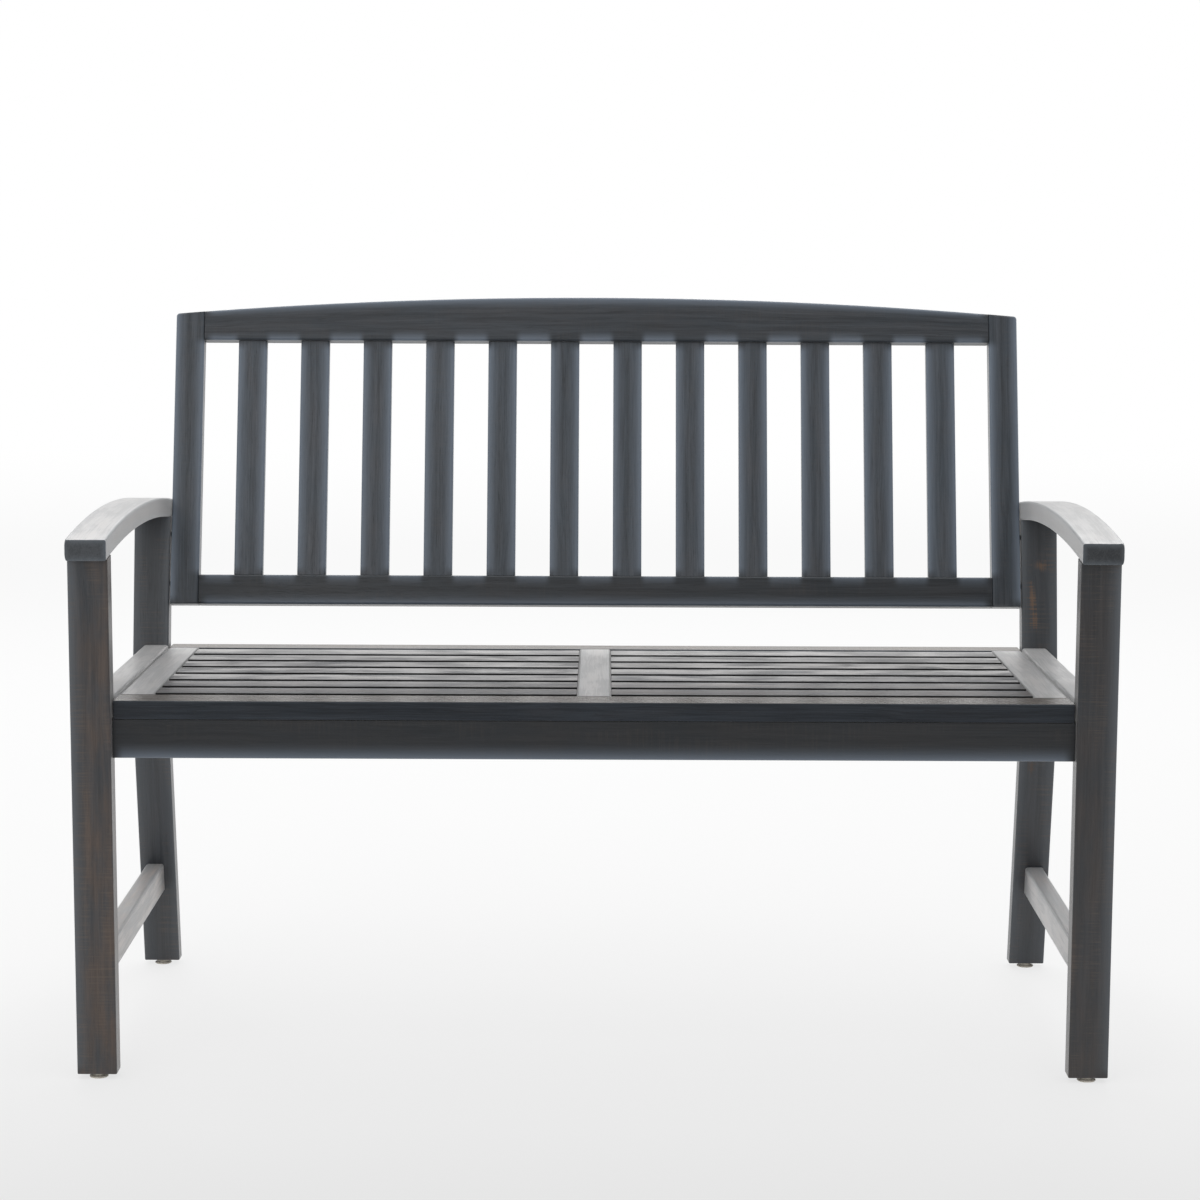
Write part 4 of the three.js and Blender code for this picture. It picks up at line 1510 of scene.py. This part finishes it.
@dataclass
class SeatFrame:
    """The sloping seat, a five-piece frame with two bays of slats, from its front edge."""

    layout: Layout
    front_rail: float = 0.050
    rear_rail: float = 0.038
    end_rail: float = 0.0395
    centre_rail: float = 0.040
    slat_count: int = 7
    slat_gap: float = 0.010
    slat_thickness: float = 0.016
    board_round: float = 0.002
    under_round: float = 0.0006
    slat_round: float = 0.0025
    end_ease: float = 0.0004

    def place(self) -> Matrix:
        """From the seat's own directions to the bench's.

        Returns:
            The transform.
        """
        layout = self.layout
        corner = Matrix.Translation((0, layout.seat_setback, layout.seat_height))
        return corner @ Matrix.Rotation(-layout.seat_fall, 4, "X")

    def rails(self) -> list[Timber]:
        """Shapes the frame's five rails.

        Returns:
            The rails.
        """
        layout = self.layout
        half, depth, gap = layout.frame_half, layout.seat_depth, layout.joint_gap
        z = (-layout.seat_thickness, 0.0)
        between = (self.front_rail + gap, depth - self.rear_rail - gap)
        sideways = {
            "seat_front_rail": (0.0, self.front_rail),
            "seat_rear_rail": (depth - self.rear_rail, depth),
        }
        inwards = {
            "seat_left_end_rail": (-half, self.end_rail - half),
            "seat_centre_rail": (-self.centre_rail / 2, self.centre_rail / 2),
            "seat_right_end_rail": (half - self.end_rail, half),
        }
        rails = [
            *(Timber.board(n, ((-half, half), y, z), Grain.SIDEWAYS) for n, y in sideways.items()),
            *(Timber.board(n, (x, between, z), Grain.INWARDS) for n, x in inwards.items()),
        ]
        for rail in rails:
            rail.ease_towards((0, 0, 1), self.board_round)
            rail.ease_towards((0, 0, -1), self.under_round, 2).ease(self.end_ease, 1)
        return rails

    def slats(self) -> list[Timber]:
        """Shapes the slats of both bays, from the front.

        Returns:
            The slats.
        """
        layout = self.layout
        opening = layout.seat_depth - self.front_rail - self.rear_rail
        width = (opening - (self.slat_count + 1) * self.slat_gap) / self.slat_count
        inner = self.centre_rail / 2 + layout.joint_gap
        outer = layout.frame_half - self.end_rail - layout.joint_gap
        slats = []
        for label, x in (("left", (-outer, -inner)), ("right", (inner, outer))):
            for index in range(self.slat_count):
                front = self.front_rail + self.slat_gap + index * (width + self.slat_gap)
                spans = (x, (front, front + width), (-self.slat_thickness, 0.0))
                slat = Timber.board(f"seat_{label}_slat_{index + 1}", spans, Grain.SIDEWAYS)
                slat.ease_long(self.slat_round).ease(self.end_ease, 1)
                slats.append(slat)
        return slats


@dataclass
class BackFrame:
    """The leaning back: stiles, a straight bottom rail, an arched top rail and upright slats."""

    layout: Layout
    rise: float = 0.057
    lean: float = math.radians(15.9)
    inset: float = 0.0275
    thickness: float = 0.023
    crown: float = 0.409
    arch_radius: float = 6.500
    stile_width: float = 0.0373
    bottom_rail: float = 0.0386
    opening: float = 0.3115
    slat_count: int = 12
    slat_width: float = 0.0374
    slat_thickness: float = 0.013
    board_round: float = 0.003
    slat_round: float = 0.0025
    top_round: float = 0.0034
    corner_round: float = 0.004
    end_ease: float = 0.0004
    arch_steps: int = 24

    @property
    def stile_inner(self) -> float:
        """The stiles' inner edges on X."""
        return self.layout.frame_half - self.stile_width

    @property
    def top_rail_bottom(self) -> float:
        """Height of the top rail's lower edge along the lean."""
        return self.bottom_rail + self.opening

    def place(self) -> Matrix:
        """From the back's own directions to the bench's.

        Returns:
            The transform.
        """
        layout = self.layout
        depth = layout.seat_rear
        foot = Matrix.Translation((0, depth - self.inset, layout.seat_top_at(depth) + self.rise))
        return foot @ Matrix.Rotation(-self.lean, 4, "X")

    def arch_at(self, x: float) -> float:
        """Height of the arch at a distance from the middle."""
        return self.crown - self.arch_radius + math.sqrt(self.arch_radius**2 - x**2)

    def stile(self, side: Side) -> Timber:
        """Shapes a stile, whose top follows the arch to a rounded outer corner.

        Args:
            side: The side that names it. Both have the right one's shape until it is mirrored.

        Returns:
            The stile.
        """
        inner, outer = self.stile_inner, self.layout.frame_half
        spans = ((inner, outer), (0.0, self.thickness), (0.0, self.crown))
        stile = Timber.board(f"back_{side.word}_stile", spans, Grain.UPWARDS)
        rise, run = self.arch_at(inner) - self.arch_at(outer), outer - inner
        stile.trim((inner, 0, self.arch_at(inner)), Vector((rise, 0, run)).normalized())
        corner = [
            e for e in stile.sharp_edges(Vector((0, 1, 0)))
            if all(v.co.z > self.opening and v.co.x > middle((inner, outer)) for v in e.verts)
        ]
        stile.ease_edges(corner, self.corner_round)
        faces = [e for e in stile.sharp_edges() if abs(e.verts[0].co.y - e.verts[1].co.y) < TOUCH]
        return stile.ease_edges(faces, self.board_round)

    def rails(self) -> list[Timber]:
        """Shapes the bottom rail and the arched top rail.

        Returns:
            The two rails.
        """
        half = self.stile_inner - self.layout.joint_gap
        width, depth = (-half, half), (0.0, self.thickness)
        spans = (width, depth, (0.0, self.bottom_rail))
        bottom = Timber.board("back_bottom_rail", spans, Grain.SIDEWAYS)
        low = self.top_rail_bottom
        top = Timber.board("back_top_rail", (width, depth, (low, self.crown)), Grain.SIDEWAYS)
        edges = top.sharp_edges(top.fibres.forwards)
        bmesh.ops.subdivide_edges(
            top.mesh, edges=edges, cuts=self.arch_steps - 1, use_grid_fill=True
        )
        for vert in top.mesh.verts:
            if vert.co.z > middle((low, self.crown)):
                vert.co.z = self.arch_at(vert.co.x)
        top.drop_at = lambda x: self.crown - self.arch_at(x)
        bottom.ease_long(self.board_round).ease(self.end_ease, 1)
        return [bottom, top.ease_long(self.top_round).ease(self.end_ease, 1)]

    def slats(self) -> list[Timber]:
        """Shapes the upright slats, from the left.

        Returns:
            The slats.
        """
        inner, gap = self.stile_inner, self.layout.joint_gap
        space = (2 * inner - self.slat_count * self.slat_width) / (self.slat_count + 1)
        recess = (self.thickness - self.slat_thickness) / 2
        depth = (recess, recess + self.slat_thickness)
        heights = (self.bottom_rail + gap, self.top_rail_bottom - gap)
        slats = []
        for index in range(self.slat_count):
            left = -inner + space + index * (self.slat_width + space)
            spans = ((left, left + self.slat_width), depth, heights)
            slat = Timber.board(f"back_slat_{index + 1}", spans, Grain.UPWARDS)
            slat.ease_long(self.slat_round).ease(self.end_ease, 1)
            slats.append(slat)
        return slats


@dataclass(frozen=True)
class Viewpoint:
    """Where the bench is seen from, for a square picture."""

    place: Place = (0.0103638, -3.68795, 1.0375425)
    pitch: float = math.radians(7.9172)
    yaw: float = math.radians(-0.0640)
    roll: float = math.radians(-0.21609)
    focal_share: float = 3006.43 / 1200
    sensor: float = 36.0
    far_limit: float = 500.0

    def build(self) -> bpy.types.Object:
        """Places the camera and makes it the scene's.

        Returns:
            The camera.
        """
        ahead = Vector((
            math.sin(self.yaw) * math.cos(self.pitch),
            math.cos(self.yaw) * math.cos(self.pitch),
            -math.sin(self.pitch),
        ))
        level = Vector((math.cos(self.yaw), -math.sin(self.yaw), 0))
        down = ahead.cross(level)
        right = math.cos(self.roll) * level + math.sin(self.roll) * down
        below = math.cos(self.roll) * down - math.sin(self.roll) * level
        data = bpy.data.cameras.new("camera")
        data.sensor_width = self.sensor
        data.lens = self.focal_share * self.sensor
        data.clip_end = self.far_limit
        camera = show("camera", data)
        turn = Matrix((right, -below, -ahead)).transposed().to_4x4()
        camera.matrix_world = Matrix.Translation(self.place) @ turn
        bpy.context.scene.camera = camera
        return camera


@dataclass(frozen=True)
class Lamp:
    """A soft rectangular lamp."""

    name: str
    place: Place
    target: Place
    size: Span
    power: float

    def build(self) -> bpy.types.Object:
        """Hangs the lamp, out of the camera's sight.

        Returns:
            The lamp.
        """
        data = bpy.data.lights.new(self.name, "AREA")
        data.shape = "RECTANGLE"
        data.size, data.size_y = self.size
        data.energy = self.power
        lamp = show(self.name, data)
        lamp.location = self.place
        way = Vector(self.target) - Vector(self.place)
        lamp.rotation_euler = way.to_track_quat("-Z", "Y").to_euler()
        lamp.visible_camera = False
        return lamp


@dataclass(frozen=True)
class Studio:
    """A pale floor and backdrop in soft light, dimmer behind the camera than behind the bench."""

    floor_half: float = 60.0
    floor_colour: float = 0.90
    ambient: float = 0.62
    front_reflection: float = 0.30
    rear_reflection: float = 1.05
    shadow_share: float = 0.22
    near_depths: Span = (-1.3, 0.3)
    near_glow: Span = (0.74, 0.97)
    far_depths: Span = (0.4, 9.0)
    far_glow: Span = (0.0, 0.03)
    mirror_depths: Span = (-2.6, -1.2)
    fade_depths: Span = (1.0, 8.0)
    sky_depths: Span = (-0.45, 0.25)
    lamps: tuple[Lamp, ...] = (
        Lamp("top_light", (0, -0.4, 3.4), (0, 0, 0.3), (3.6, 3.0), 30.0),
        Lamp("rear_light", (-0.2, 3.2, 2.6), (0, 0, 0.4), (4.6, 1.6), 60.0),
        Lamp("front_light", (-1.8, -4.3, 2.2), (0, 0, 0.4), (3.6, 2.4), 26.0),
    )

    def floor(self) -> bpy.types.Object:
        """Makes the floor, which keeps soft shadows and whose glow is painted light: dimmer near
        the camera as painted shade, and fading to white with distance.

        Returns:
            The floor.
        """
        mesh = bmesh.new()
        bmesh.ops.create_grid(mesh, x_segments=1, y_segments=1, size=self.floor_half)
        data = bpy.data.meshes.new("floor")
        mesh.to_mesh(data)
        mesh.free()
        floor = show("floor", data)
        floor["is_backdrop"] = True

        material, nodes = new_material("pale_floor")
        matte = nodes.term("ShaderNodeBsdfDiffuse", {"Color": (*(self.floor_colour,) * 3, 1.0)})
        _, depth, _ = nodes.parts(nodes.term("ShaderNodeTexCoord", output="Object"))
        # Painted light: the floor's glow is dimmer in front of the bench as painted shade, and
        # white far off
        near = nodes.spread(depth, *self.near_depths, *self.near_glow)
        far = nodes.spread(depth, *self.far_depths, *self.far_glow)
        ray = nodes.outputs("ShaderNodeLightPath")
        mirrored = nodes.math("MAXIMUM", ray["Is Glossy Ray"], ray["Is Transmission Ray"])
        seen = nodes.math("MAXIMUM", ray["Is Camera Ray"], mirrored)
        # Painted shade: in reflections the floor in front of the bench glows dimmer
        dim = nodes.spread(depth, *self.mirror_depths, self.front_reflection, 1.0)
        glow = (near + far) * nodes.blend_values(mirrored, 1.0, dim)
        lit = nodes.term("ShaderNodeEmission", {"Color": glow, "Strength": 1.0})
        share = seen * nodes.spread(depth, *self.fade_depths, 1 - self.shadow_share, 1.0)
        mixed = nodes.term("ShaderNodeMixShader", {0: share, 1: matte, 2: lit})
        nodes.add("ShaderNodeOutputMaterial", {0: mixed})
        data.materials.append(material)
        return floor

    def world(self) -> bpy.types.World:
        """Makes the surroundings: white to the camera and behind the bench, dim in front of it.

        Returns:
            The surroundings.
        """
        world = bpy.data.worlds.new("studio")
        world.use_nodes = True
        nodes = Nodes(world.node_tree)
        ray = nodes.outputs("ShaderNodeLightPath")
        _, depth, _ = nodes.parts(nodes.term("ShaderNodeTexCoord", output="Generated"))
        glow = (self.front_reflection, self.rear_reflection)
        mirrored = nodes.spread(depth, *self.sky_depths, *glow)
        lit = nodes.blend_values(ray["Is Glossy Ray"], self.ambient, mirrored)
        seen = nodes.blend_values(ray["Is Camera Ray"], lit, 1.0)
        white = {"Color": (1.0, 1.0, 1.0, 1.0), "Strength": seen}
        nodes.add("ShaderNodeOutputWorld", {0: nodes.term("ShaderNodeBackground", white)})
        bpy.context.scene.world = world
        world.cycles.sampling_method = "NONE"
        return world

    def build(self) -> None:
        """Makes the floor, the surroundings and the lamps."""
        self.floor()
        self.world()
        for lamp in self.lamps:
            lamp.build()
        bpy.context.scene.view_settings.view_transform = "Standard"


# Each board's tone and warmth, by a part of its name, and those of the boards not named here
TONES: dict[str, Span] = {
    "left_front_leg": (1.0, 0.60),
    "right_front_leg": (0.68, 0.35),
    "rear_leg": (1.08, 0.08),
    "left_armrest": (1.25, 0.40),
    "right_armrest": (0.80, 0.40),
    "stretcher": (2.1, 0.60),
    "seat_left_end_rail": (1.4, 0.45),
    "seat_right_end_rail": (1.3, 0.45),
    "apron": (0.38, 0.20),
    "seat_front_rail": (0.55, 0.10),
    "back_bottom_rail": (0.62, 0.10),
    "back_top_rail": (0.85, 0.15),
    "back_slat": (1.32, 0.10),
    "stile": (1.05, 0.10),
}
PLAIN_TONE: Span = (1.0, 0.45)


@dataclass
class Bench:
    """The whole bench."""

    layout: Layout
    cuts: Span = (0.0, 40.0)
    tone_chance: Span = (0.93, 1.07)
    warmth_chance: Span = (0.7, 1.3)

    def look_of(self, name: str) -> BoardLook:
        """What tells one board from the next, the same at each run.

        Args:
            name: The board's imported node.

        Returns:
            Its look, from its place on the bench and a little chance.
        """
        chance = random.Random(name)
        tone, warmth = next((TONES[key] for key in TONES if key in name), PLAIN_TONE)
        return BoardLook(
            cut=chance.uniform(*self.cuts),
            tone=tone * chance.uniform(*self.tone_chance),
            warmth=warmth * chance.uniform(*self.warmth_chance),
        )

    @staticmethod
    def dress_hardware() -> None:
        """Gives the bolts and glides their materials."""
        for finish, ending in ((BLACKED_STEEL, "bolt"), (GLIDE_PLASTIC, "glide")):
            material = finish.build()
            for name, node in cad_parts.items():
                if name.endswith(ending):
                    node.data.materials.clear()
                    node.data.materials.append(material)
                    log.info("%s: %s", name, material.name)

    def timbers(self) -> Iterable[tuple[WoodUse, Timber, Matrix, bool]]:
        """Shapes every board.

        Yields:
            Its finish, the board, its group's place and whether it is mirrored.
        """
        origin = Matrix.Translation((0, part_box("left_front_leg")[0].y, 0))
        for side in Side:
            half, is_left = SideFrame(self.layout, side), side is Side.LEFT
            yield WoodUse.POST, half.front_leg(), origin, is_left
            rear_use = WoodUse.POST if is_left else WoodUse.STAINED_POST
            yield rear_use, half.rear_leg(), origin, is_left
            yield WoodUse.ARM, half.armrest(), origin, is_left
            yield WoodUse.SIDE, half.seat_rail(), origin, is_left
            yield WoodUse.SIDE, half.stretcher(), origin, is_left
        for board in Aprons(self.layout).boards():
            yield WoodUse.APRON, board, origin, False
        seat = SeatFrame(self.layout)
        for timber in (*seat.rails(), *seat.slats()):
            use = WoodUse.SEAT_SLAT if "slat" in timber.name else WoodUse.SEAT_RAIL
            if timber.fibres.forwards.y > ALIGNED:
                use = WoodUse.SEAT_SIDE
            yield use, timber, origin @ seat.place(), False
        back = BackFrame(self.layout)
        place = origin @ back.place()
        for side in Side:
            yield WoodUse.BACK_STILE, back.stile(side), place, side is Side.LEFT
        bottom, top = back.rails()
        yield WoodUse.BACK_BOTTOM_RAIL, bottom, place, False
        yield WoodUse.BACK_TOP_RAIL, top, place, False
        for slat in back.slats():
            yield WoodUse.BACK_SLAT, slat, place, False

    def build(self) -> None:
        """Builds and dresses every piece."""
        effects = (
            WoodFigure("wood_figure"), SawMarks("saw_marks"), EdgeWear("edge_wear"),
            Blotches("blotches"),
        )
        wood = {use: use.value.build(effects) for use in WoodUse}
        for use, timber, place, mirrored in self.timbers():
            timber.finish(wood[use], self.look_of(timber.name), place, mirrored)
        self.dress_hardware()


def write_sizes() -> None:
    """Finds the solids' box and the dressed model's box; nothing is written."""
    boxes = {"solids": solid_box, "dressed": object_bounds()}
    {name: [list(corner) for corner in box] for name, box in boxes.items()}


def main() -> None:
    """Builds the bench, the studio and the camera."""
    logging.basicConfig(level=logging.INFO, format="%(name)s %(message)s")
    Bench(Layout()).build()
    Studio().build()
    Viewpoint().build()
    write_sizes()


if __name__ == "__main__":
    main()
